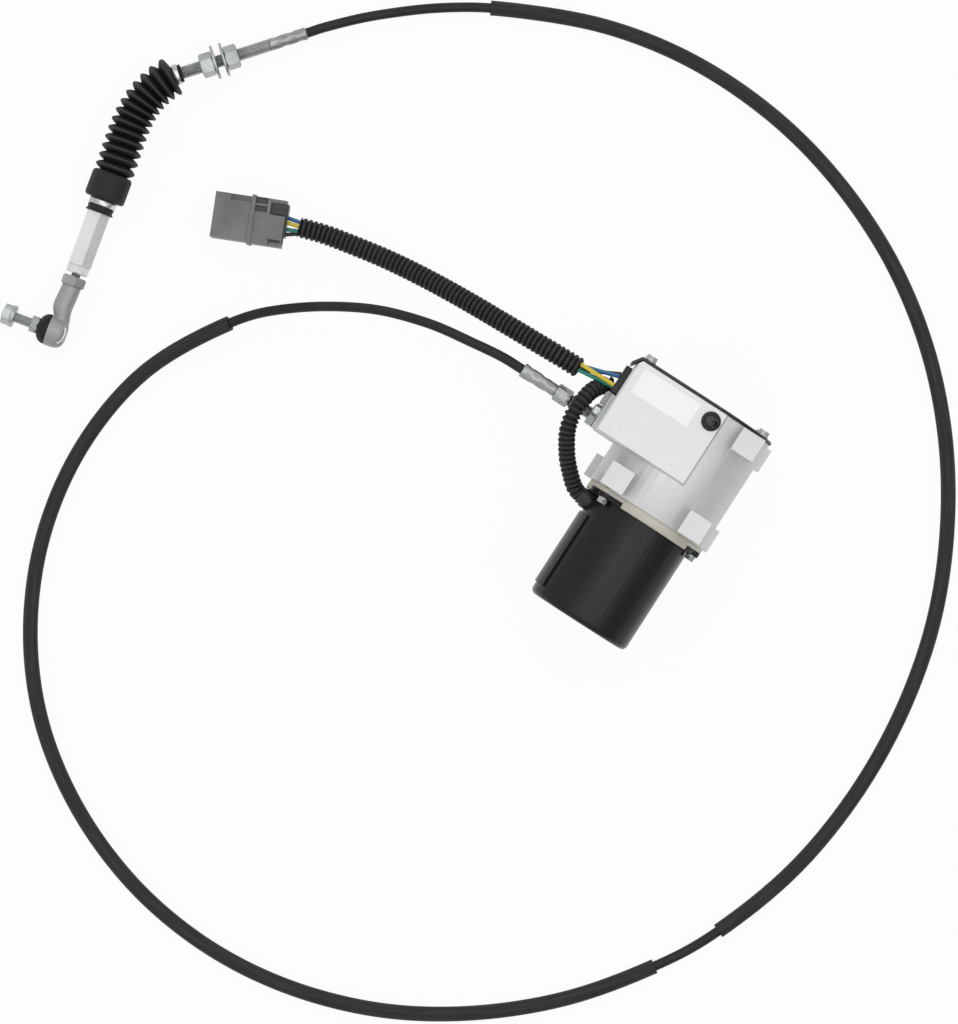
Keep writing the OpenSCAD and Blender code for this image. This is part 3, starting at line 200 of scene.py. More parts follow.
# Throttle cable: a push-pull cable in a black plastic jacket, 6 mm thick, laid in one open turn.
# Extruded jacket over a steel conduit; it leaves the crimped fitting on the cable box.
CABLE_ROUTE = [Vector(p) for p in (
    (-0.109, -0.005, 0.06354), (-0.123, -0.0052, 0.0633), (-0.142, -0.0075, 0.0625),
    (-0.173, -0.0125, 0.0585), (-0.208, -0.0245, 0.049), (-0.246, -0.048, 0.033),
    (-0.274, -0.076, 0.018), (-0.302, -0.128, 0.0065), (-0.310, -0.186, 0.0051),
    (-0.301, -0.244, 0.0046), (-0.277, -0.297, 0.0046), (-0.241, -0.341, 0.0046),
    (-0.194, -0.374, 0.0046), (-0.140, -0.395, 0.0046), (-0.084, -0.4025, 0.0046),
    (-0.028, -0.397, 0.0046), (0.027, -0.379, 0.0046), (0.076, -0.350, 0.0046),
    (0.120, -0.311, 0.0046), (0.155, -0.265, 0.0046), (0.176, -0.226, 0.0046),
    (0.194, -0.171, 0.0046), (0.201, -0.114, 0.0046), (0.198, -0.056, 0.0046),
    (0.185, 0.001, 0.0046), (0.162, 0.053, 0.0046), (0.130, 0.101, 0.0046),
    (0.090, 0.142, 0.0046), (0.042, 0.175, 0.0046), (-0.012, 0.198, 0.0046),
    (-0.067, 0.210, 0.0046), (-0.125, 0.211, 0.0046), (-0.181, 0.200, 0.0046),
    (-0.235, 0.177, 0.0055), (-0.270, 0.1555, 0.008), (-0.301, 0.1295, 0.0115),
    (-0.3216, 0.1083, 0.0125), (-0.3305, 0.0975, 0.0125))]
CABLE_D = 0.006
ROUTE_CUTS = 8


def drawn_route(points):
    """Points on the smooth curve through a route, ROUTE_CUTS for each of its stretches."""
    ends = [2 * points[0] - points[1], *points, 2 * points[-1] - points[-2]]
    line = []
    for a, b, c, d in zip(ends, ends[1:], ends[2:], ends[3:]):
        for k in range(ROUTE_CUTS):
            f = k / ROUTE_CUTS
            line.append(0.5 * (2 * b + (c - a) * f + (2 * a - 5 * b + 4 * c - d) * f * f
                               + (3 * b - a - 3 * c + d) * f ** 3))
    return line + [points[-1].copy()]


def run_length(line):
    """How long a line of points is."""
    return sum((b - a).length for a, b in zip(line, line[1:]))


def node_tree(name, inputs):
    """An empty Geometry Nodes tree with named inputs, and a wire from each."""
    made = bpy.data.node_groups.new(name, "GeometryNodeTree")
    for label, kind in inputs:
        made.interface.new_socket(label, in_out="INPUT", socket_type="NodeSocket" + kind)
    made.interface.new_socket("Made", in_out="OUTPUT", socket_type="NodeSocketGeometry")
    return made, Wire(made).node("NodeGroupInput")


def close_tree(shape, given):
    """Realizes what a tree made, gives it its material and ends the tree."""
    real = shape.node("GeometryNodeRealizeInstances", {}, {0: shape})
    smooth = real.node("GeometryNodeSetShadeSmooth", {}, {0: real})
    coated = smooth.node("GeometryNodeSetMaterial", {}, {"Geometry": smooth,
                                                       "Material": given.of("Material")})
    coated.node("NodeGroupOutput", {}, {0: coated})


tube_tree, given = node_tree("ribbed_tube", (
    ("Route", "Geometry"), ("Diameter", "Float"), ("Rib depth", "Float"), ("Rib pitch", "Float"),
    ("Rib width", "Float"), ("Step", "Float"), ("Sides", "Int"), ("Material", "Material")))
line = given.node("GeometryNodeMeshToCurve", {}, {"Mesh": given.of("Route")})
line = line.node("GeometryNodeResampleCurve", {"mode": "LENGTH"},
                 {"Curve": line, "Length": given.of("Step")})
run = line.node("GeometryNodeSplineParameter").of("Length")
groove = run.math("COSINE", run / given.of("Rib pitch") * math.tau) * 0.5 + 0.5
radius = given.of("Diameter") * 0.5 - given.of("Rib depth") * groove ** given.of("Rib width")
round_section = line.node("GeometryNodeCurvePrimitiveCircle", {"mode": "RADIUS"},
                          {"Resolution": given.of("Sides"), "Radius": 1.0})
marked = []
for shape, label, value in ((line, "groove", groove), (line, "along", run),
                            (round_section, "around", run.of("Factor"))):
    held = marked[0] if label == "along" else shape
    marked.append(held.node("GeometryNodeStoreNamedAttribute",
                            {"data_type": "FLOAT", "domain": "POINT"},
                            {"Geometry": held, "Name": label, "Value": value}))
line, round_section = marked[1:]
close_tree(line.node("GeometryNodeCurveToMesh", {}, {
    "Curve": line, "Profile Curve": round_section, "Scale": radius, "Fill Caps": True}), given)


def grown(name, tree, start_mesh, sizes, sharp=50):
    """A plain piece from a Geometry Nodes tree; its inputs are set by their identifiers."""
    piece = bpy.data.objects.new(name, start_mesh)
    bpy.context.collection.objects.link(piece)
    maker = piece.modifiers.new(name, "NODES")
    maker.node_group = tree
    for item in tree.interface.items_tree:
        if item.in_out == "INPUT" and item.name in sizes:
            maker[item.identifier] = sizes[item.name]
    made = bpy.data.meshes.new_from_object(
        piece.evaluated_get(bpy.context.evaluated_depsgraph_get()))
    piece.modifiers.clear()
    piece.data = made
    shape = bmesh.new()
    shape.from_mesh(made)
    bmesh.ops.remove_doubles(shape, verts=shape.verts, dist=1e-6)
    bmesh.ops.recalc_face_normals(shape, faces=shape.faces)
    shape.to_mesh(made)
    shape.free()
    made.set_sharp_from_angle(angle=math.radians(sharp))
    return piece


def tube(name, line, diameter, material, depth=0.0, pitch=0.0032, step=0.004, sides=20, width=2.6):
    """A round or ribbed tube along a line."""
    start = bpy.data.meshes.new(name)
    start.from_pydata(line, [(i, i + 1) for i in range(len(line) - 1)], [])
    return grown(name, tube_tree, start, {
        "Diameter": diameter, "Rib depth": depth, "Rib pitch": pitch, "Rib width": width,
        "Step": step, "Sides": sides, "Material": material})


def new_paint(name, **fixed):
    """A material with one shader, its constant sockets set, and a wire to build on."""
    made = bpy.data.materials.new(name)
    made.use_nodes = True
    shader = made.node_tree.nodes["Principled BSDF"]
    for socket, value in fixed.items():
        shader.inputs[socket.replace("_", " ")].default_value = value
    return made, shader, Wire(made.node_tree)


def grain(wire, scale, stretch=(1, 1, 1), detail=3.0, turn=0.0):
    """Noise over the piece, finer with a larger scale (per metre)."""
    place = wire.node("ShaderNodeTexCoord").of("Object")
    place = place.node("ShaderNodeMapping", {}, {"Vector": place, "Scale": stretch,
                                                 "Rotation": (0, 0, turn)})
    return place.node("ShaderNodeTexNoise", {}, {"Vector": place, "Scale": scale,
                                                 "Detail": detail})


def raised(wire, height, depth, shader):
    """Feeds a height to the shader's normal."""
    bump = wire.node("ShaderNodeBump", {}, {"Height": height, "Distance": depth, "Strength": 1.0})
    bump.into(shader, "Normal")


def moulded(name, dark, light, rough, fine, depth, specular=0.5):
    """Plastic or rubber: cloudy colour, a fine skin texture and uneven gloss."""
    paint, shader, wire = new_paint(name, Specular_IOR_Level=specular)
    cloud = grain(wire, fine * 0.04)
    skin = grain(wire, fine, detail=2.0)
    cloud.band(0.3, 0.7).colour((*dark, 1), (*light, 1)).into(shader, "Base Color")
    (rough[0] + (cloud * 0.5 + skin * 0.5) * (rough[1] - rough[0])).into(shader, "Roughness")
    raised(wire, skin, depth, shader)
    return paint


conduit_black = moulded("conduit_black", (0.009, 0.009, 0.0095), (0.016, 0.016, 0.017),
                        (0.38, 0.56), 1800, 0.00004, specular=0.3)
cable_line = drawn_route(CABLE_ROUTE)
throttle_cable = tube("throttle_cable", cable_line, CABLE_D, conduit_black)
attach(throttle_cable, "actuator")
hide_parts("conduit_near", "conduit_middle", "conduit_far")


# Cable sleeves: two lengths of thick rubber hose over the jacket, where the cable could rub.
# Cut square from extruded hose and pushed on; faint streaks run along it.
SLEEVE_D = 0.0092
SLEEVES = (  # the piece, the node, and where on the route it starts and ends
    ("outer_sleeve", "sleeve_2", 6, 19), ("inner_sleeve", "sleeve_1", 20, 33.25))

sleeve_rubber, shader, wire = new_paint("sleeve_rubber", Specular_IOR_Level=0.25)
along, around = (wire.node("ShaderNodeAttribute", {"attribute_name": name}).of("Fac")
                 for name in ("along", "around"))
drawn = wire.node("ShaderNodeCombineXYZ", {}, {0: along * 30, 1: around * 14})
streak = wire.node("ShaderNodeTexNoise", {}, {"Vector": drawn, "Scale": 1.0, "Detail": 4.0})
cloud = grain(wire, 60)
skin = grain(wire, 1500, detail=2.0)
drawn_rubber = streak.band(0.35, 0.75) * 0.7 + cloud * 0.3
drawn_rubber.colour((0.012, 0.013, 0.013, 1), (0.040, 0.042, 0.041, 1)).into(shader, "Base Color")
(0.48 + streak * 0.2).into(shader, "Roughness")
raised(wire, skin, 0.00005, shader)

for piece_name, node_name, first, last in SLEEVES:
    covered = cable_line[int(first * ROUTE_CUTS):int(last * ROUTE_CUTS) + 1]
    hose = tube(piece_name, covered, SLEEVE_D, sleeve_rubber)
    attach(hose, "actuator")
    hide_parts(node_name)


# Wire looms: the main loom to the connector and the motor's own loom to its gland.
# Black corrugated split tube; the ribs are blow-moulded, with wider valleys on the thin loom.
LOOM_ROUTE = [Vector(p) for p in (
    (-0.081, 0.014, 0.064), (-0.095, 0.0138, 0.062), (-0.112, 0.0134, 0.0575),
    (-0.138, 0.0129, 0.049), (-0.165, 0.0122, 0.038), (-0.191, 0.0107, 0.0275),
    (-0.216, 0.008, 0.019), (-0.242, 0.0035, 0.013), (-0.256, 0.0005, 0.011),
    (-0.2705, -0.0039, 0.0107))]
MOTOR_LOOM_ROUTE = [Vector(p) for p in (
    (-0.0582, 0.017, 0.06054), (-0.0634, 0.0132, 0.06054), (-0.0676, 0.0066, 0.06854),
    (-0.0692, -0.0016, 0.07334), (-0.0696, -0.0094, 0.07454), (-0.0686, -0.0162, 0.07304),
    (-0.0664, -0.0224, 0.07014), (-0.0624, -0.029, 0.06574), (-0.0572, -0.0359, 0.0607),
    (-0.051, -0.0419, 0.0559), (-0.0453, -0.0466, 0.0517), (-0.0402, -0.0487, 0.0485))]
LOOM_D, LOOM_RIB, LOOM_PITCH = 0.0125, 0.0012, 0.0032
MOTOR_LOOM_D, MOTOR_LOOM_RIB, MOTOR_LOOM_PITCH = 0.0104, 0.0014, 0.0033

loom_black, shader, wire = new_paint("loom_black", Specular_IOR_Level=0.32)
groove = wire.node("ShaderNodeAttribute", {"attribute_name": "groove"}).of("Fac")
skin = grain(wire, 900, detail=2.0)
# The colour is painted darker down in the valleys between the ribs: painted shade.
valley_shade = groove.band(0.25, 0.85) * 0.8 + skin * 0.2
valley_shade.colour((0.022, 0.023, 0.023, 1), (0.002, 0.002, 0.002, 1)).into(shader, "Base Color")
(0.36 + skin * 0.2 + groove * 0.25).into(shader, "Roughness")
raised(wire, skin, 0.00004, shader)

loom_line = drawn_route(LOOM_ROUTE)
motor_loom_line = drawn_route(MOTOR_LOOM_ROUTE)
main_loom = tube("main_loom", loom_line, LOOM_D, loom_black, LOOM_RIB, LOOM_PITCH,
                 step=LOOM_PITCH / 10, sides=28)
motor_loom = tube("motor_loom", motor_loom_line, MOTOR_LOOM_D, loom_black, MOTOR_LOOM_RIB,
                  MOTOR_LOOM_PITCH, step=MOTOR_LOOM_PITCH / 10, sides=24, width=1.2)
for piece, node_name in ((main_loom, "harness_tube"), (motor_loom, "motor_lead_tube")):
    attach(piece, "actuator")
    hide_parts(node_name)
run_length(motor_loom_line)


# Gear housing: one aluminium casting, the barrel with its square pads and the cable box.
# Die-cast, bead-blasted and left bare; the pads' faces are milled and smoother, and their colour is
# painted darker as painted shade.
PAD_FACE = 0.0867


def dress(name, paint, soften=0.0, segments=2):
    """Gives a CAD piece its finish, and rounds its sharp edges a little."""
    piece = frame["nodes"][name]
    piece.data.materials.clear()
    piece.data.materials.append(paint)
    if soften:
        joined = piece.modifiers.new("joined", "WELD")
        joined.merge_threshold = 1e-6
        edge = piece.modifiers.new("edge", "BEVEL")
        edge.width = soften
        edge.segments = segments
        edge.limit_method = "ANGLE"
        edge.angle_limit = math.radians(35)
        edge.harden_normals = True


cast_aluminium, shader, wire = new_paint("cast_aluminium", Metallic=0.72)
cloud = grain(wire, 45)
blast = grain(wire, 2600, detail=4.0)
pores = grain(wire, 520, detail=1.0).band(0.70, 0.80)
place = wire.node("ShaderNodeTexCoord").of("Object")
height = place.node("ShaderNodeSeparateXYZ", {}, {0: place}).of("Z")
# Everything from the pads' top face height up is painted darker (painted shade) and made smoother,
# as milled.
milled_face_and_shade = height.band(PAD_FACE - 0.0001, PAD_FACE + 0.0001)
bare_metal = 0.21 + cloud * 0.55 + blast * 0.24 - milled_face_and_shade * 0.66
bare_metal.colour((0.52, 0.528, 0.528, 1), (0.71, 0.715, 0.712, 1)).into(shader, "Base Color")
(0.40 + blast * 0.12 + cloud * 0.10 + pores * 0.15 - milled_face_and_shade * 0.08).into(shader, "Roughness")
raised(wire, blast * 0.6 - pores * 0.7, 0.00006, shader)
dress("gear_housing", cast_aluminium, 0.0004)


# Gear train: a brass lay gear between the motor pinion and the output gear, on steel pins.
# Hobbed brass and turned steel, pressed together; the bridge plate carries the outer ends.
def machined(name, dark, light, rough, lines, depth=0.00002, turn=0.0, metal=1.0):
    """Bare or plated metal with fine tool lines along one way."""
    paint, shader, wire = new_paint(name, Metallic=metal)
    cloud = grain(wire, 70)
    cut = grain(wire, lines, stretch=(0.06, 1, 1), detail=2.0, turn=turn)
    tone = (cloud * 0.6 + cut * 0.4).band(0.25, 0.75)
    tone.colour((*dark, 1), (*light, 1)).into(shader, "Base Color")
    (rough[0] + (cut * 0.6 + cloud * 0.4) * (rough[1] - rough[0])).into(shader, "Roughness")
    raised(wire, cut, depth, shader)
    return paint


turned_steel = machined("turned_steel", (0.50, 0.51, 0.52), (0.66, 0.67, 0.68), (0.22, 0.42), 1400)
gear_brass = machined("gear_brass", (0.66, 0.49, 0.22), (0.80, 0.63, 0.32), (0.24, 0.40), 1200)
bearing_bronze = machined("bearing_bronze", (0.46, 0.30, 0.15), (0.62, 0.43, 0.24),
                          (0.35, 0.55), 900)
machined_aluminium = machined("machined_aluminium", (0.62, 0.63, 0.64), (0.76, 0.77, 0.78),
                              (0.28, 0.45), 1000)
for name in ("motor_pinion", "rack_pinion", "cable_rack", "output_shaft", "gear_pin",
             "core_wire_near", "bridge_screws"):
    dress(name, turned_steel)
for name in ("double_gear", "output_gear"):
    dress(name, gear_brass)
dress("output_bush", bearing_bronze)
dress("bridge_plate", machined_aluminium)
natural_acetal = moulded("natural_acetal", (0.80, 0.79, 0.73), (0.90, 0.89, 0.84), (0.3, 0.45),
                         700, 0.00003)
dress("rack_guide", natural_acetal)
sensor_green = moulded("sensor_green", (0.03, 0.12, 0.06), (0.06, 0.2, 0.11), (0.3, 0.45), 800,
                       0.00003)
dress("potentiometer", sensor_green)


# Motor inside: a wound armature on its shaft, ferrite magnets and a plate with carbon brushes.
# Stamped laminations, enamelled copper, sintered magnets and bearings.
laminations, shader, wire = new_paint("laminations", Metallic=1.0)
along = wire.node("ShaderNodeTexCoord").of("Object")
sheet = along.node("ShaderNodeTexWave", {"bands_direction": "Y"},
                   {"Vector": along, "Scale": 320.0, "Distortion": 0.4})
sheet.of("Fac").colour((0.24, 0.24, 0.25, 1), (0.44, 0.44, 0.45, 1)).into(shader, "Base Color")
(0.35 + sheet.of("Fac") * 0.2).into(shader, "Roughness")
copper_wire = machined("copper_wire", (0.50, 0.20, 0.10), (0.74, 0.36, 0.19), (0.22, 0.38), 2200)
magnet_ferrite = moulded("magnet_ferrite", (0.06, 0.06, 0.065), (0.12, 0.12, 0.13), (0.5, 0.7),
                         1100, 0.00005)
brush_board = moulded("brush_board", (0.20, 0.11, 0.05), (0.32, 0.19, 0.10), (0.45, 0.6), 900,
                      0.00004)
brush_carbon = moulded("brush_carbon", (0.04, 0.04, 0.04), (0.08, 0.08, 0.08), (0.5, 0.65), 1600,
                       0.00004)
for name, paint in (("motor_shaft", turned_steel), ("armature_core", laminations),
                    ("armature_windings", copper_wire), ("commutator", copper_wire),
                    ("motor_bearings", bearing_bronze), ("field_magnets", magnet_ferrite),
                    ("brush_plate", brush_board), ("brushes", brush_carbon)):
    dress(name, paint)


# Motor outside: a deep-drawn can in gloss black enamel and a beige end plate with three bolts.
# The can is sprayed, so its skin has a faint orange peel; the bolts are zinc plated.
can_enamel, shader, wire = new_paint("can_enamel", Specular_IOR_Level=0.22)
peel = grain(wire, 420, detail=1.5)
cloud = grain(wire, 30)
dust = grain(wire, 1500, detail=1.0).band(0.66, 0.74)
(cloud * 0.6 + dust * 0.35).colour((0.006, 0.006, 0.0065, 1),
                                   (0.020, 0.020, 0.021, 1)).into(shader, "Base Color")
(0.24 + cloud * 0.1 + dust * 0.2).into(shader, "Roughness")
raised(wire, peel, 0.00006, shader)
plate_enamel = moulded("plate_enamel", (0.50, 0.47, 0.40), (0.60, 0.57, 0.49), (0.38, 0.52), 900,
                       0.00006)
zinc_bright = machined("zinc_bright", (0.29, 0.31, 0.315), (0.49, 0.515, 0.52), (0.30, 0.42), 330,
                       5e-7)
gland_black = moulded("gland_black", (0.012, 0.012, 0.012), (0.022, 0.022, 0.022), (0.4, 0.55),
                      1200, 0.00005)
dress("motor_can", can_enamel, 0.0004)
dress("motor_end_plate", plate_enamel, 0.0005)
dress("motor_bolts", zinc_bright, 0.0002)
dress("motor_lead_gland", gland_black, 0.0005)


# Cover: black sheet steel with its gasket on the housing's end, held by four screws.
# Pressed and powder coated; the screws sit on washers.
cover_black = moulded("cover_black", (0.010, 0.010, 0.010), (0.02, 0.02, 0.02), (0.4, 0.55), 1400,
                      0.00006)
seal_rubber = moulded("seal_rubber", (0.012, 0.012, 0.012), (0.022, 0.022, 0.023), (0.5, 0.68),
                      1600, 0.00005)
dress("top_cover", cover_black, 0.0003)
dress("cover_gasket", seal_rubber)
dress("cover_screws", zinc_bright, 0.0002)


# Breather: a black plug pressed in the cable box, with a stepped flange and a leaning nipple.
# Moulded plastic; the nipple is hollow.
BOX_TOP = 0.0855
VENT_RINGS = (
    (0.0, 0.0059), (0.0008, 0.0059), (0.0013, 0.0056), (0.0016, 0.0052), (0.0013, 0.0047),
    (0.0022, 0.0044), (0.0028, 0.0041), (0.0024, 0.0035), (0.0034, 0.0031), (0.0037, 0.0020))
NIPPLE_RINGS = (
    (0.0, 0.0026), (0.0040, 0.0026), (0.0045, 0.0023), (0.0045, 0.0017), (0.0018, 0.0016))
NIPPLE_SEAT, NIPPLE_LEAN, NIPPLE_TURN = 0.0026, math.radians(32), math.radians(-8)


def piece_from(name, shape, paint, place=Matrix(), sharp=38):
    """A finished piece from a mesh under work, put in its place with its faces outwards."""
    bmesh.ops.remove_doubles(shape, verts=shape.verts, dist=1e-7)
    bmesh.ops.recalc_face_normals(shape, faces=shape.faces)
    bmesh.ops.transform(shape, matrix=place, verts=shape.verts)
    made = bpy.data.meshes.new(name)
    shape.to_mesh(made)
    shape.free()
    made.shade_smooth()
    made.set_sharp_from_angle(angle=math.radians(sharp))
    for one in paint if isinstance(paint, (list, tuple)) else [paint]:
        made.materials.append(one)
    piece = bpy.data.objects.new(name, made)
    bpy.context.collection.objects.link(piece)
    return piece


def closed_rings(shape, rings):
    """Adds the faces between rings of points, and one at each end."""
    for one, two in zip(rings, rings[1:]):
        for k in range(len(one)):
            j = (k + 1) % len(one)
            shape.faces.new((one[k], one[j], two[j], two[k]))
    shape.faces.new(rings[0][::-1])
    shape.faces.new(rings[-1])


def turned(shape, profile, sides=40, dent=None, place=Matrix()):
    """Adds a closed turned form along X from (x, radius) pairs; dent(x, angle) lowers it."""
    rings = []
    for x, radius in profile:
        ring = []
        for k in range(sides):
            a = math.tau * k / sides
            r = radius - (dent(x, a) if dent else 0)
            ring.append(shape.verts.new(place @ Vector((x, r * math.cos(a), r * math.sin(a)))))
        rings.append(ring)
    closed_rings(shape, rings)


vent_black = moulded("vent_black", (0.026, 0.026, 0.026), (0.042, 0.042, 0.042), (0.22, 0.34), 900,
                     0.00003)
vent_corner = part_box("vent_plug")[0]
vent_r = VENT_RINGS[0][1]
vent_seat = Matrix.Translation((vent_corner.x + vent_r, vent_corner.y + vent_r, BOX_TOP))
upright = Matrix.Rotation(-math.pi / 2, 4, "Y")
shape = bmesh.new()
turned(shape, VENT_RINGS, 40, place=vent_seat @ upright)
turned(shape, NIPPLE_RINGS, 28, place=vent_seat @ Matrix.Translation((0, 0, NIPPLE_SEAT))
       @ Matrix.Rotation(NIPPLE_TURN, 4, "Z") @ Matrix.Rotation(NIPPLE_LEAN, 4, "Y") @ upright)
breather = piece_from("breather", shape, vent_black)
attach(breather, "actuator")
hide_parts("vent_plug")


# Label: a blank white paper label on the cable box, with rounded corners.
# Die-cut self-adhesive stock, pressed on the casting.
LABEL_LEFT, LABEL_RIGHT, LABEL_FRONT, LABEL_BACK = -0.048, -0.009, 0.018, 0.034
LABEL_THICK, LABEL_CORNER, CORNER_STEPS = 0.00018, 0.0005, 6

label_white, shader, wire = new_paint("label_white")
fibre = grain(wire, 1300, detail=4.0)
cloud = grain(wire, 60)
cloud.colour((0.955, 0.955, 0.955, 1), (0.985, 0.985, 0.985, 1)).into(shader, "Base Color")
(0.42 + fibre * 0.15).into(shader, "Roughness")
raised(wire, fibre, 0.00003, shader)

shape = bmesh.new()
outline = []
middle_x, middle_y = (LABEL_LEFT + LABEL_RIGHT) / 2, (LABEL_FRONT + LABEL_BACK) / 2
for x, y, first in ((LABEL_RIGHT, LABEL_BACK, 0), (LABEL_LEFT, LABEL_BACK, 90),
                    (LABEL_LEFT, LABEL_FRONT, 180), (LABEL_RIGHT, LABEL_FRONT, 270)):
    corner = Vector((x - math.copysign(LABEL_CORNER, x - middle_x),
                     y - math.copysign(LABEL_CORNER, y - middle_y)))
    for step in range(CORNER_STEPS + 1):
        turn = math.radians(first + 90 * step / CORNER_STEPS)
        outline.append(corner + LABEL_CORNER * Vector((math.cos(turn), math.sin(turn))))
low = [shape.verts.new((p.x, p.y, BOX_TOP)) for p in outline]
high = [shape.verts.new((p.x, p.y, BOX_TOP + LABEL_THICK)) for p in outline]
closed_rings(shape, [low, high])
label = piece_from("blank_label", shape, label_white)
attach(label, "actuator")


# Cable clamp: a grey bent bracket on the box with its bolt and lock nut.
# Pressed steel, painted; the nut and bolt are zinc plated.
bracket_grey = moulded("bracket_grey", (0.43, 0.44, 0.45), (0.56, 0.57, 0.58), (0.35, 0.5), 1000,
                       0.00005)
dress("cable_bracket", bracket_grey, 0.0004)
dress("bracket_bolt", zinc_bright, 0.0002)
dress("fitting_lock_nut", zinc_bright, 0.0003)


# Cable fitting: a turned steel fitting, a hexagon between a thread and a crimped ferrule.
# Zinc plated; the ferrule is crimped on the jacket with staggered dents.
CABLE_AXIS = Matrix.Translation((0, -0.005, 0.06354))
CABLE_START, FITTING_HEX, FITTING_THREAD, FITTING_END = -0.109, -0.0855, -0.0755, -0.051
FERRULE_R, FERRULE_FLAT, FITTING_AF = 0.0038, 0.0007, 0.0095
THREAD_D, THREAD_PITCH = 0.008, 0.00125
THREAD_DEPTH, THREAD_ROOT, RINGS_PER_TURN = 0.36, 1.25, 8  # in pitches; above 1 for a flat root
CRIMP_DEPTH, CRIMP_HALF = 0.00036, 0.0024

thread_tree, given = node_tree("cut_thread", (
    ("Length", "Float"), ("Diameter", "Float"), ("Pitch", "Float"), ("Depth", "Float"),
    ("Rings", "Int"), ("Material", "Material")))
bar = given.node("GeometryNodeMeshCylinder", {"fill_type": "NGON"}, {
    "Vertices": 30, "Side Segments": given.of("Rings"), "Radius": given.of("Diameter") * 0.5,
    "Depth": given.of("Length")})
where = bar.node("GeometryNodeInputPosition")
axes = where.node("ShaderNodeSeparateXYZ", {}, {0: where})
turn = axes.math("ARCTAN2", axes.of("Y"), axes.of("X")) / math.tau
lead = turn.math("FRACT", axes.of("Z") / given.of("Pitch") - turn)
valley = 1 - lead.math("ABSOLUTE", lead * 2 - 1)
cut = given.of("Depth") * valley.math("MINIMUM", valley * THREAD_ROOT, 1.0)
keep = 1 - cut / given.of("Diameter") * 2
moved = where.node("ShaderNodeCombineXYZ", {}, {0: axes.of("X") * keep, 1: axes.of("Y") * keep,
                                                2: axes.of("Z")})
close_tree(bar.node("GeometryNodeSetPosition", {}, {"Geometry": bar, "Position": moved}), given)


def threaded(start, end, diameter, pitch, paint):
    """A mesh of a threaded bar along X."""
    bar = grown("bar", thread_tree, bpy.data.meshes.new("bar"), {
        "Length": end - start, "Diameter": diameter, "Pitch": pitch, "Depth": pitch * THREAD_DEPTH,
        "Rings": round((end - start) / pitch * RINGS_PER_TURN), "Material": paint}, 60)
    made = bar.data
    made.transform(Matrix.Translation(((start + end) / 2, 0, 0))
                   @ Matrix.Rotation(math.pi / 2, 4, "Y"))
    bpy.data.objects.remove(bar)
    return made


def hexagon(shape, flats, start, end, turn=0.0, chamfer=0.0006):
    """Adds a hexagon along X with its corners chamfered at both ends, as a nut is."""
    corner, faced = flats / math.sqrt(3), flats / 2 * 0.97
    sides = 48
    rings = []
    for x, limit in ((start, faced), (start + chamfer, corner),
                     (end - chamfer, corner), (end, faced)):
        ring = []
        for k in range(sides):
            a = math.tau * k / sides
            part = (a + math.pi / 6) % (math.pi / 3) - math.pi / 6
            r = min(flats / 2 / math.cos(part), limit)
            ring.append(shape.verts.new((x, r * math.cos(a + turn), r * math.sin(a + turn))))
        rings.append(ring)
    closed_rings(shape, rings)


def crimp(rows):
    """Dents of a crimping tool: each row is (x, half width, first angle)."""
    def depth(x, a):
        total = 0.0
        for middle, half, first in rows:
            near = max(0.0, 1 - ((x - middle) / half) ** 2)
            jaw = (a - first + math.pi) % (math.tau / 3) - math.pi / 3
            total += CRIMP_DEPTH * near * max(0.0, math.cos(1.5 * jaw)) ** 3
        return total
    return depth


def ferrule(shape, start, end, flat=0.0):
    """Adds a crimped ferrule along X, flattened by the crimping tool at its start."""
    length = end - start
    edge = 0.0004
    profile = [(start, FERRULE_R - edge), (start + edge, FERRULE_R)]
    profile += [(start + edge + (length - 2 * edge) * k / 36, FERRULE_R) for k in range(1, 36)]
    profile += [(end - edge, FERRULE_R), (end, FERRULE_R - edge)]
    rows = [(start + length * (0.2 + 0.2 * k), CRIMP_HALF, k * math.pi / 3) for k in range(4)]
    dents = crimp(rows)
    turned(shape, profile, 48,
           lambda x, a: dents(x, a) - flat * math.cos(2 * a) * (end - x) / length)


crimped_zinc = machined("crimped_zinc", (0.25, 0.26, 0.265), (0.39, 0.40, 0.405), (0.28, 0.46), 900,
                        0.00001)
shape = bmesh.new()
ferrule(shape, CABLE_START, FITTING_HEX, FERRULE_FLAT)
hexagon(shape, FITTING_AF, FITTING_HEX, FITTING_THREAD, math.pi / 6)
shape.from_mesh(threaded(FITTING_THREAD, FITTING_END, THREAD_D, THREAD_PITCH, crimped_zinc))
fitting = piece_from("crimped_fitting", shape, crimped_zinc, CABLE_AXIS)
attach(fitting, "actuator")
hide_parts("cable_fitting")


# Wire entry: a moulded rubber grommet in the box's side and the four wires that leave it.
# The wires are stranded copper in coloured insulation and go into the main loom.
NEAR_WIRES = (
    ("yellow", (-0.0582, 0.0164, 0.0718), (-0.082, 0.0164, 0.0668)),
    ("blue", (-0.0582, 0.0226, 0.0688), (-0.082, 0.0156, 0.0626)),
    ("green", (-0.0582, 0.0154, 0.0680), (-0.082, 0.0127, 0.0656)),
    ("black", (-0.0582, 0.0246, 0.06424), (-0.082, 0.0124, 0.0617)))
WIRE_D, WIRE_STEPS = 0.0025, 12

insulation = {
    tint: moulded("wire_" + tint, dark, light, (0.3, rough), 700, 0.00002)
    for tint, dark, light, rough in (
        ("yellow", (0.66, 0.50, 0.02), (0.80, 0.62, 0.04), 0.42),
        ("blue", (0.02, 0.12, 0.30), (0.04, 0.19, 0.40), 0.42),
        ("green", (0.0, 0.20, 0.16), (0.01, 0.32, 0.26), 0.42),
        ("black", (0.010, 0.010, 0.011), (0.02, 0.02, 0.021), 0.45))}


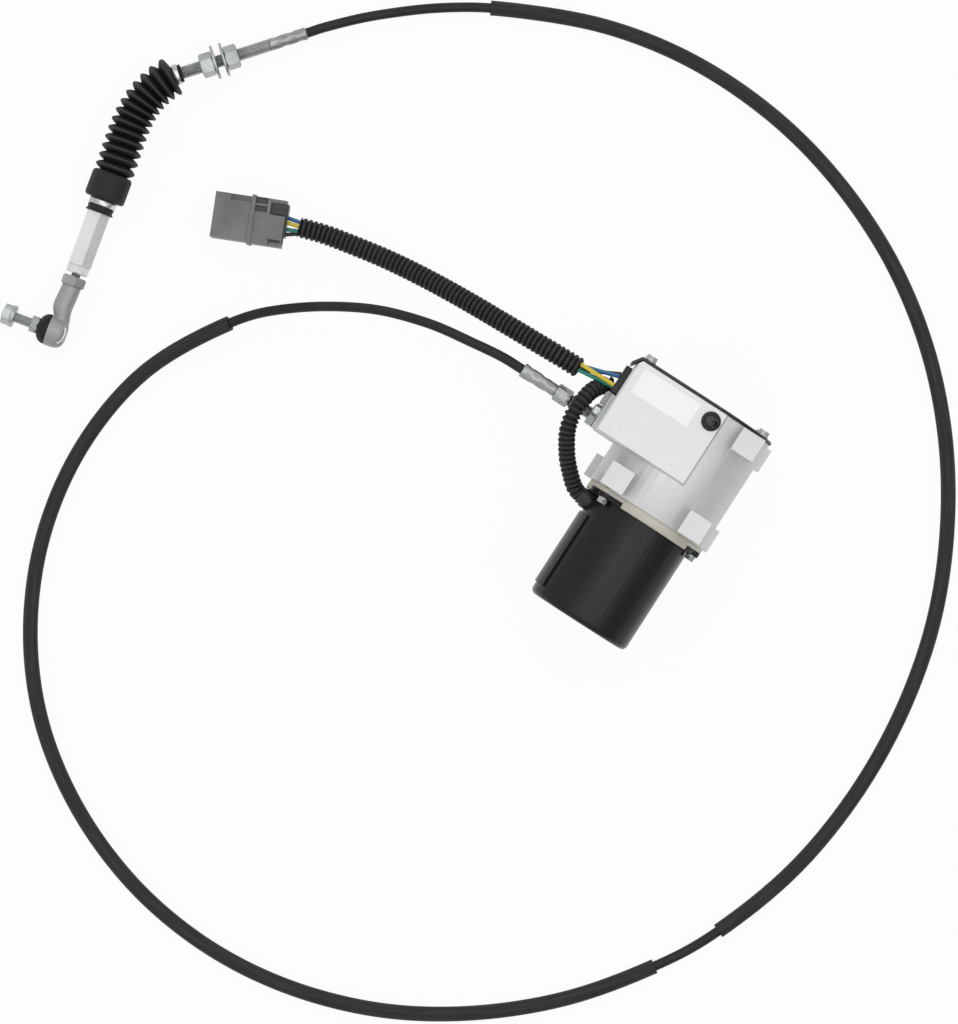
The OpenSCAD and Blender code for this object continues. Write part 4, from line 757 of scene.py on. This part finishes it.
def wires(name, ends, node_name, bow):
    """Short coloured wires between two pieces, in one piece; each bows a little."""
    shape = bmesh.new()
    for k, (tint, a, b) in enumerate(ends):
        a, b = Vector(a), Vector(b)
        line = [a.lerp(b, i / WIRE_STEPS) + Vector(bow) * math.sin(math.pi * i / WIRE_STEPS) ** 2
                for i in range(WIRE_STEPS + 1)]
        one = tube("wire", line, WIRE_D, insulation[tint], step=0.0015, sides=14)
        for face in one.data.polygons:
            face.material_index = k
        shape.from_mesh(one.data)
        bpy.data.objects.remove(one)
    piece = piece_from(name, shape, [insulation[tint] for tint, a, b in ends])
    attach(piece, "actuator")
    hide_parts(node_name)
    return piece


dress("wire_grommet", seal_rubber, 0.0006, 3)
loom_entry = wires("loom_entry_wires", NEAR_WIRES, "near_wires", (0, 0, -0.0006))


# Connector: the grey eight-way housing at the end of the main loom, with its black retainer.
# Moulded nylon, painted near black in its lock windows and darker in its key groove as painted
# shade; the retainer locks the brass pins, which are pressed in.
CONNECTOR_MIDDLE, CONNECTOR_TURN = Vector((-0.297, -0.0159, 0.0107)), math.radians(24.3)
CONNECTOR_PLACE = Matrix.Translation(CONNECTOR_MIDDLE) @ Matrix.Rotation(CONNECTOR_TURN, 4, "Z")
FAR_WIRES = (
    ("blue", (0.019, 0.005, 0.0), (0.0295, 0.0028, 0.0015)),
    ("yellow", (0.019, 0.002, 0.0018), (0.0295, 0.0, 0.003)),
    ("green", (0.019, -0.0026, 0.001), (0.0295, -0.0026, 0.001)),
    ("black", (0.019, -0.0062, -0.001), (0.0295, -0.0038, -0.0024)))
LOCK_WINDOWS = ((0.0012, 0.0086), (0.0053, 0.0138), (0.0064, 0.0078))
KEY_GROOVE = ((-0.014, -0.0013), (0.0102, 0.0137), (0.0080, 0.0090))
SHADE_EDGE = 0.0001


def within(axes, box):
    """1 inside a box given by its ends on the three axes, 0 outside it."""
    long, wide, high = (
        axes.of(name).band(low, low + SHADE_EDGE) - axes.of(name).band(top, top + SHADE_EDGE)
        for name, (low, top) in zip("XYZ", box))
    return long * wide * high


connector_grey, shader, wire = new_paint("connector_grey")
cloud = grain(wire, 44)
skin = grain(wire, 1100, detail=2.0)
place = wire.node("ShaderNodeTexCoord").of("Object")
turned_back = wire.node("ShaderNodeMapping", {"vector_type": "TEXTURE"}, {
    "Vector": place, "Location": CONNECTOR_MIDDLE, "Rotation": (0, 0, CONNECTOR_TURN)})
axes = turned_back.node("ShaderNodeSeparateXYZ", {}, {0: turned_back})
# The lock windows' floors are painted near black and the key groove's floor darker: painted shade
# in the recesses.
nylon_and_pocket_shade = (0.65 + cloud.band(0.3, 0.7) * 0.35 - within(axes, LOCK_WINDOWS) * 0.6
         - within(axes, KEY_GROOVE) * 0.28)
nylon_and_pocket_shade.colour((0.02, 0.02, 0.019, 1), (0.192, 0.192, 0.192, 1)).into(shader, "Base Color")
(0.42 + (cloud * 0.5 + skin * 0.5) * 0.16).into(shader, "Roughness")
raised(wire, skin, 0.00006, shader)
retainer_black = moulded("retainer_black", (0.010, 0.010, 0.010), (0.02, 0.02, 0.02), (0.35, 0.5),
                         1000, 0.00004)
pin_brass = machined("pin_brass", (0.70, 0.53, 0.24), (0.86, 0.70, 0.38), (0.2, 0.34), 1400)
dress("connector_shell", connector_grey, 0.0005)
dress("connector_retainer", retainer_black, 0.0003)
dress("connector_pins", pin_brass)
far_ends = [(tint, tuple(CONNECTOR_PLACE @ Vector(a)), tuple(CONNECTOR_PLACE @ Vector(b)))
            for tint, a, b in FAR_WIRES]
connector_wires = wires("connector_wires", far_ends, "far_wires", (0, 0, 0))
run_length(loom_line)


# Cable hub: the far ferrule and a long threaded tube, for a bulkhead, with two nuts and washers.
# Turned and zinc plated; the ferrule is crimped on the jacket.
HUB_TURN = math.radians(230.5)
HUB_PLACE = Matrix.Translation((-0.3305, 0.0975, 0.0125)) @ Matrix.Rotation(HUB_TURN, 4, "Z")
HUB_FERRULE, HUB_END = 0.0235, 0.0853

shape = bmesh.new()
ferrule(shape, 0.0, HUB_FERRULE)
shape.from_mesh(threaded(HUB_FERRULE, HUB_END, THREAD_D, THREAD_PITCH, crimped_zinc))
hub = piece_from("threaded_hub", shape, crimped_zinc, HUB_PLACE)
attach(hub, "actuator")
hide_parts("cable_hub")
dress("hub_nuts", zinc_bright, 0.0003)
dress("hub_washers", zinc_bright, 0.0002)


# Bellows boot: black rubber with thirteen thin folds on a curve, over the core wire.
# Moulded in one piece; a band holds its neck on the hub and another its cuff on the rod.
ROD_TURN, BOOT_TURN = math.radians(-77.5), math.radians(242.5)
ROD_PLACE = Matrix.Translation((-0.3774, -0.0627, 0.0125)) @ Matrix.Rotation(ROD_TURN, 4, "Z")
BOOT_FOLDS, BOOT_CREST, BOOT_ROOT = 13, 0.0125, 0.0084
NECK_PULL, CUFF_PULL, CUFF_BACK = 0.028, 0.026, -0.0257
BOOT_START = HUB_PLACE @ Vector((HUB_END, 0, 0))
BOOT_END = ROD_PLACE @ Vector((CUFF_BACK, 0, 0))
BOOT_IN = BOOT_START + NECK_PULL * Vector((math.cos(BOOT_TURN), math.sin(BOOT_TURN), 0))
BOOT_OUT = BOOT_END - CUFF_PULL * Vector((math.cos(ROD_TURN), math.sin(ROD_TURN), 0))
HUB_WAY = HUB_PLACE.to_3x3() @ Vector((1, 0, 0))
ROD_WAY = ROD_PLACE.to_3x3() @ Vector((1, 0, 0))
NECK_RINGS = (
    (0.0794, 0.0050), (0.0797, 0.0056), (0.0809, 0.0056), (0.0812, 0.0052), (0.0844, 0.0052),
    (0.0850, 0.0054))
CUFF_RINGS = (
    (-0.0254, 0.0098), (-0.0252, 0.0111), (-0.0246, 0.0119), (-0.0236, 0.0124), (-0.0222, 0.0125),
    (-0.0112, 0.0125), (-0.0098, 0.0124), (-0.0089, 0.0119), (-0.0085, 0.0111), (-0.0084, 0.0074),
    (-0.0041, 0.0074), (-0.0040, 0.0083), (-0.0034, 0.0083), (-0.0027, 0.0079), (-0.0018, 0.0078),
    (-0.0010, 0.0083), (-0.0004, 0.0088), (0.0, 0.0082))
NECK_SHADE, CUFF_SHADE = 0.5, 0.91
FOLD_STEPS, FOLD_START, FOLD_TIP = 12, 3, 1.7
CORE_R, CORE_STEPS = 0.0009, 24


def boot_point(f):
    """A point on the boot's curve, from its neck at 0 to its cuff at 1."""
    return ((1 - f) ** 3 * BOOT_START + 3 * f * (1 - f) ** 2 * BOOT_IN
            + 3 * f * f * (1 - f) * BOOT_OUT + f ** 3 * BOOT_END)


def boot_way(f):
    """The curve's direction at that point."""
    return ((1 - f) ** 2 * (BOOT_IN - BOOT_START) + 2 * f * (1 - f) * (BOOT_OUT - BOOT_IN)
            + f * f * (BOOT_END - BOOT_OUT)).normalized()


def level_loft(name, stations, paint, sides=44):
    """A closed round form on a curve that lies level: (centre, way, radius, attribute) rings."""
    shape = bmesh.new()
    mark = shape.verts.layers.float.new("crest")
    rings = []
    for centre, way, radius, crest in stations:
        across = Vector((-way.y, way.x, 0))
        ring = []
        for k in range(sides):
            a = math.tau * k / sides
            outwards = math.cos(a) * across + math.sin(a) * Vector((0, 0, 1))
            one = shape.verts.new(centre + radius * outwards)
            one[mark] = crest
            ring.append(one)
        rings.append(ring)
    closed_rings(shape, rings)
    return piece_from(name, shape, paint, sharp=60)


boot_rubber, shader, wire = new_paint("boot_rubber", Specular_IOR_Level=0.3)
crest = wire.node("ShaderNodeAttribute", {"attribute_name": "crest"}).of("Fac")
skin = grain(wire, 1700, detail=2.0)
bloom = grain(wire, 260, detail=3.0)
# The fold crests are painted lighter, a painted highlight along their rims; neck and cuff rings
# take a set share of it by their shade values, and bloom adds random tone.
crest_highlight_and_bloom = crest.band(0.86, 1.0) * 0.8 + bloom * 0.2
crest_highlight_and_bloom.colour((0.005, 0.005, 0.005, 1), (0.036, 0.036, 0.037, 1)).into(shader, "Base Color")
(0.42 + bloom * 0.2 + skin * 0.1).into(shader, "Roughness")
raised(wire, skin, 0.00004, shader)

stations = [(HUB_PLACE @ Vector((x, 0, 0)), HUB_WAY, r, NECK_SHADE) for x, r in NECK_RINGS]
for k in range(FOLD_START, BOOT_FOLDS * FOLD_STEPS + 1):
    f = (k - FOLD_START) / (BOOT_FOLDS * FOLD_STEPS - FOLD_START)
    phase = k / FOLD_STEPS % 1.0
    rise = 1 - abs(2 * phase - 1) ** FOLD_TIP
    stations.append((boot_point(f), boot_way(f), BOOT_ROOT + (BOOT_CREST - BOOT_ROOT) * rise, rise))
stations += [(ROD_PLACE @ Vector((x, 0, 0)), ROD_WAY, r, CUFF_SHADE) for x, r in CUFF_RINGS]
boot = level_loft("folded_boot", stations, boot_rubber)
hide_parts("bellows_boot")
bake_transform(boot)

core_line = [(boot_point(k / CORE_STEPS), boot_way(k / CORE_STEPS), CORE_R, 0.0)
             for k in range(CORE_STEPS + 1)]
core_wire = level_loft("core_wire", core_line, turned_steel, 10)
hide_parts("core_wire_far")
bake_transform(core_wire)
for name, turn in (("hub_band", math.tau - HUB_TURN), ("cuff_band", -ROD_TURN)):
    band_bright = machined(name + "_bright", (0.34, 0.35, 0.35), (0.86, 0.87, 0.87), (0.2, 0.36),
                           800, 0.00001, turn)
    dress(name, band_bright, 0.0002)


# Push rod: a long hexagonal coupling with its jam nut, screwed to the ball joint's shank.
# Hexagon bar, turned at the ends and zinc plated.
JAM_START, JAM_END, JAM_AF = 0.0342, 0.0394, 0.0127

hexagon_bright = machined("hexagon_bright", (0.70, 0.71, 0.71), (0.82, 0.825, 0.825), (0.24, 0.40),
                          700, 0.000005, -ROD_TURN, 0.4)
dress("hex_coupling", hexagon_bright, 0.0003)
shape = bmesh.new()
hexagon(shape, JAM_AF, JAM_START, JAM_END)
jam_nut = piece_from("chamfered_jam_nut", shape, hexagon_bright, ROD_PLACE)
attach(jam_nut, "push_rod")
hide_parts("jam_nut")


# Ball joint: a cast socket on its shank, a ball stud with a hexagon and a rubber dust boot.
# The socket is die-cast zinc with a spring clip; the stud is turned steel, zinc plated.
BALL_PLACE = (Matrix.Translation((-0.360734, -0.137875, 0.0125))
              @ Matrix.Rotation(math.radians(192.5), 4, "Z"))
STUD_NECK, STUD_HEX, STUD_HEX_END, STUD_END = 0.0028, 0.0106, 0.0154, 0.0338
STUD_AF, STUD_D, STUD_PITCH = 0.010, 0.00635, 0.0009
STUD_RINGS = ((0.0, 0.004), (0.003, 0.0046), (0.006, STUD_NECK), (STUD_HEX, STUD_NECK))
SOCKET_RINGS = (
    (-0.0070, 0.0030), (-0.0070, 0.0050), (-0.0064, 0.0068), (-0.0050, 0.0083), (-0.0030, 0.0092),
    (0.0, 0.0096), (0.0042, 0.0096), (0.0042, 0.0044), (0.0020, 0.0058), (0.0, 0.0061),
    (-0.0030, 0.0053), (-0.0052, 0.0030), (-0.0059, 0.0005))
SHANK_RINGS = (
    (0.0472, 0.0, 0.0059), (0.052, -0.0002, 0.0060), (0.057, -0.0006, 0.0061),
    (0.060, -0.0008, 0.0061), (0.062, -0.0007, 0.0060), (0.0638, -0.0004, 0.0058),
    (0.0654, 0.0001, 0.0055), (0.0666, 0.0006, 0.0053), (0.068, 0.0011, 0.0052),
    (0.0706, 0.0014, 0.0050))
SHANK_D, SHANK_PITCH, SHANK_START, SHANK_END = 0.006, 0.001, 0.0302, 0.0424
COLLAR_START, COLLAR_END, COLLAR_AF, COLLAR_TURN = 0.0414, 0.0474, 0.0134, math.radians(-15)
CAST_GRAIN, CAST_ROUNDS = 0.00035, 8
CLIP_D, CLIP_BACK, CLIP_BOW, CLIP_REACH, CLIP_LIFT = 0.0012, -0.0030, 0.0036, 0.0062, 0.0001
CLIP_FIRST, CLIP_LAST, CLIP_STEPS = -45, 75, 12
DOME_R, DOME_BACK = 0.0096, 0.0090
DUST_RINGS = (
    (0.0044, 0.0082), (0.0045, 0.0091), (0.0052, 0.0094), (0.0062, 0.0092), (0.0076, 0.0087),
    (0.0087, 0.0079), (0.0096, 0.0069), (0.0102, 0.0060), (0.0103, 0.0048))

socket_grey, shader, wire = new_paint("socket_grey", Metallic=0.55)
cloud = grain(wire, 120)
sand = grain(wire, 2000, detail=3.0)
tone = cloud * 0.7 + sand * 0.3
tone.colour((0.28, 0.285, 0.275, 1), (0.42, 0.425, 0.41, 1)).into(shader, "Base Color")
(0.42 + sand * 0.16).into(shader, "Roughness")
raised(wire, sand, 0.00008, shader)

shape = bmesh.new()
turned(shape, SOCKET_RINGS, 48, place=BALL_PLACE)
shank = level_loft("shank", [(ROD_PLACE @ Vector((x, y, 0)), ROD_WAY, r, 0.0)
                             for x, y, r in SHANK_RINGS], socket_grey)
shape.from_mesh(shank.data)
bpy.data.objects.remove(shank)
bmesh.ops.recalc_face_normals(shape, faces=shape.faces)
casting = bpy.data.objects.new("casting", bpy.data.meshes.new("casting"))
shape.to_mesh(casting.data)
shape.free()
bpy.context.collection.objects.link(casting)
joined = casting.modifiers.new("joined", "REMESH")
joined.mode = "VOXEL"
joined.voxel_size = CAST_GRAIN
rounded = casting.modifiers.new("rounded", "SMOOTH")
rounded.factor = 0.5
rounded.iterations = CAST_ROUNDS
shape = bmesh.new()
hexagon(shape, COLLAR_AF, COLLAR_START, COLLAR_END, COLLAR_TURN)
shape.from_mesh(threaded(SHANK_START, SHANK_END, SHANK_D, SHANK_PITCH, socket_grey))
bmesh.ops.transform(shape, matrix=ROD_PLACE, verts=shape.verts)
shape.from_mesh(bpy.data.meshes.new_from_object(
    casting.evaluated_get(bpy.context.evaluated_depsgraph_get())))
bpy.data.objects.remove(casting)
socket = piece_from("cast_socket", shape, socket_grey)
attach(socket, "push_rod")
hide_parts("ball_socket")

clip_line = []
for k in range(CLIP_STEPS + 1):
    t = math.radians(CLIP_FIRST + (CLIP_LAST - CLIP_FIRST) * k / CLIP_STEPS)
    x, y = CLIP_BACK - CLIP_BOW * math.cos(t), CLIP_REACH * math.sin(t)
    dome = DOME_R * math.sqrt(1 - (x / DOME_BACK) ** 2)
    clip_line.append(BALL_PLACE @ Vector((x, y, math.sqrt(dome ** 2 - y ** 2) + CLIP_LIFT)))
spring_clip = tube("spring_clip", clip_line, CLIP_D, hexagon_bright, step=0.0005, sides=12)
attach(spring_clip, "push_rod")

shape = bmesh.new()
turned(shape, STUD_RINGS, 32)
hexagon(shape, STUD_AF, STUD_HEX, STUD_HEX_END)
shape.from_mesh(threaded(STUD_HEX_END, STUD_END, STUD_D, STUD_PITCH, zinc_bright))
stud = piece_from("threaded_stud", shape, zinc_bright, BALL_PLACE)
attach(stud, "stud")
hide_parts("ball_stud")
dress("flange_nut", zinc_bright, 0.0003)

shape = bmesh.new()
turned(shape, DUST_RINGS, 44)
dust_cap = piece_from("ball_dust_boot", shape, boot_rubber, BALL_PLACE, 60)
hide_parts("dust_boot")
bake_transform(dust_cap)

run_length(cable_line)
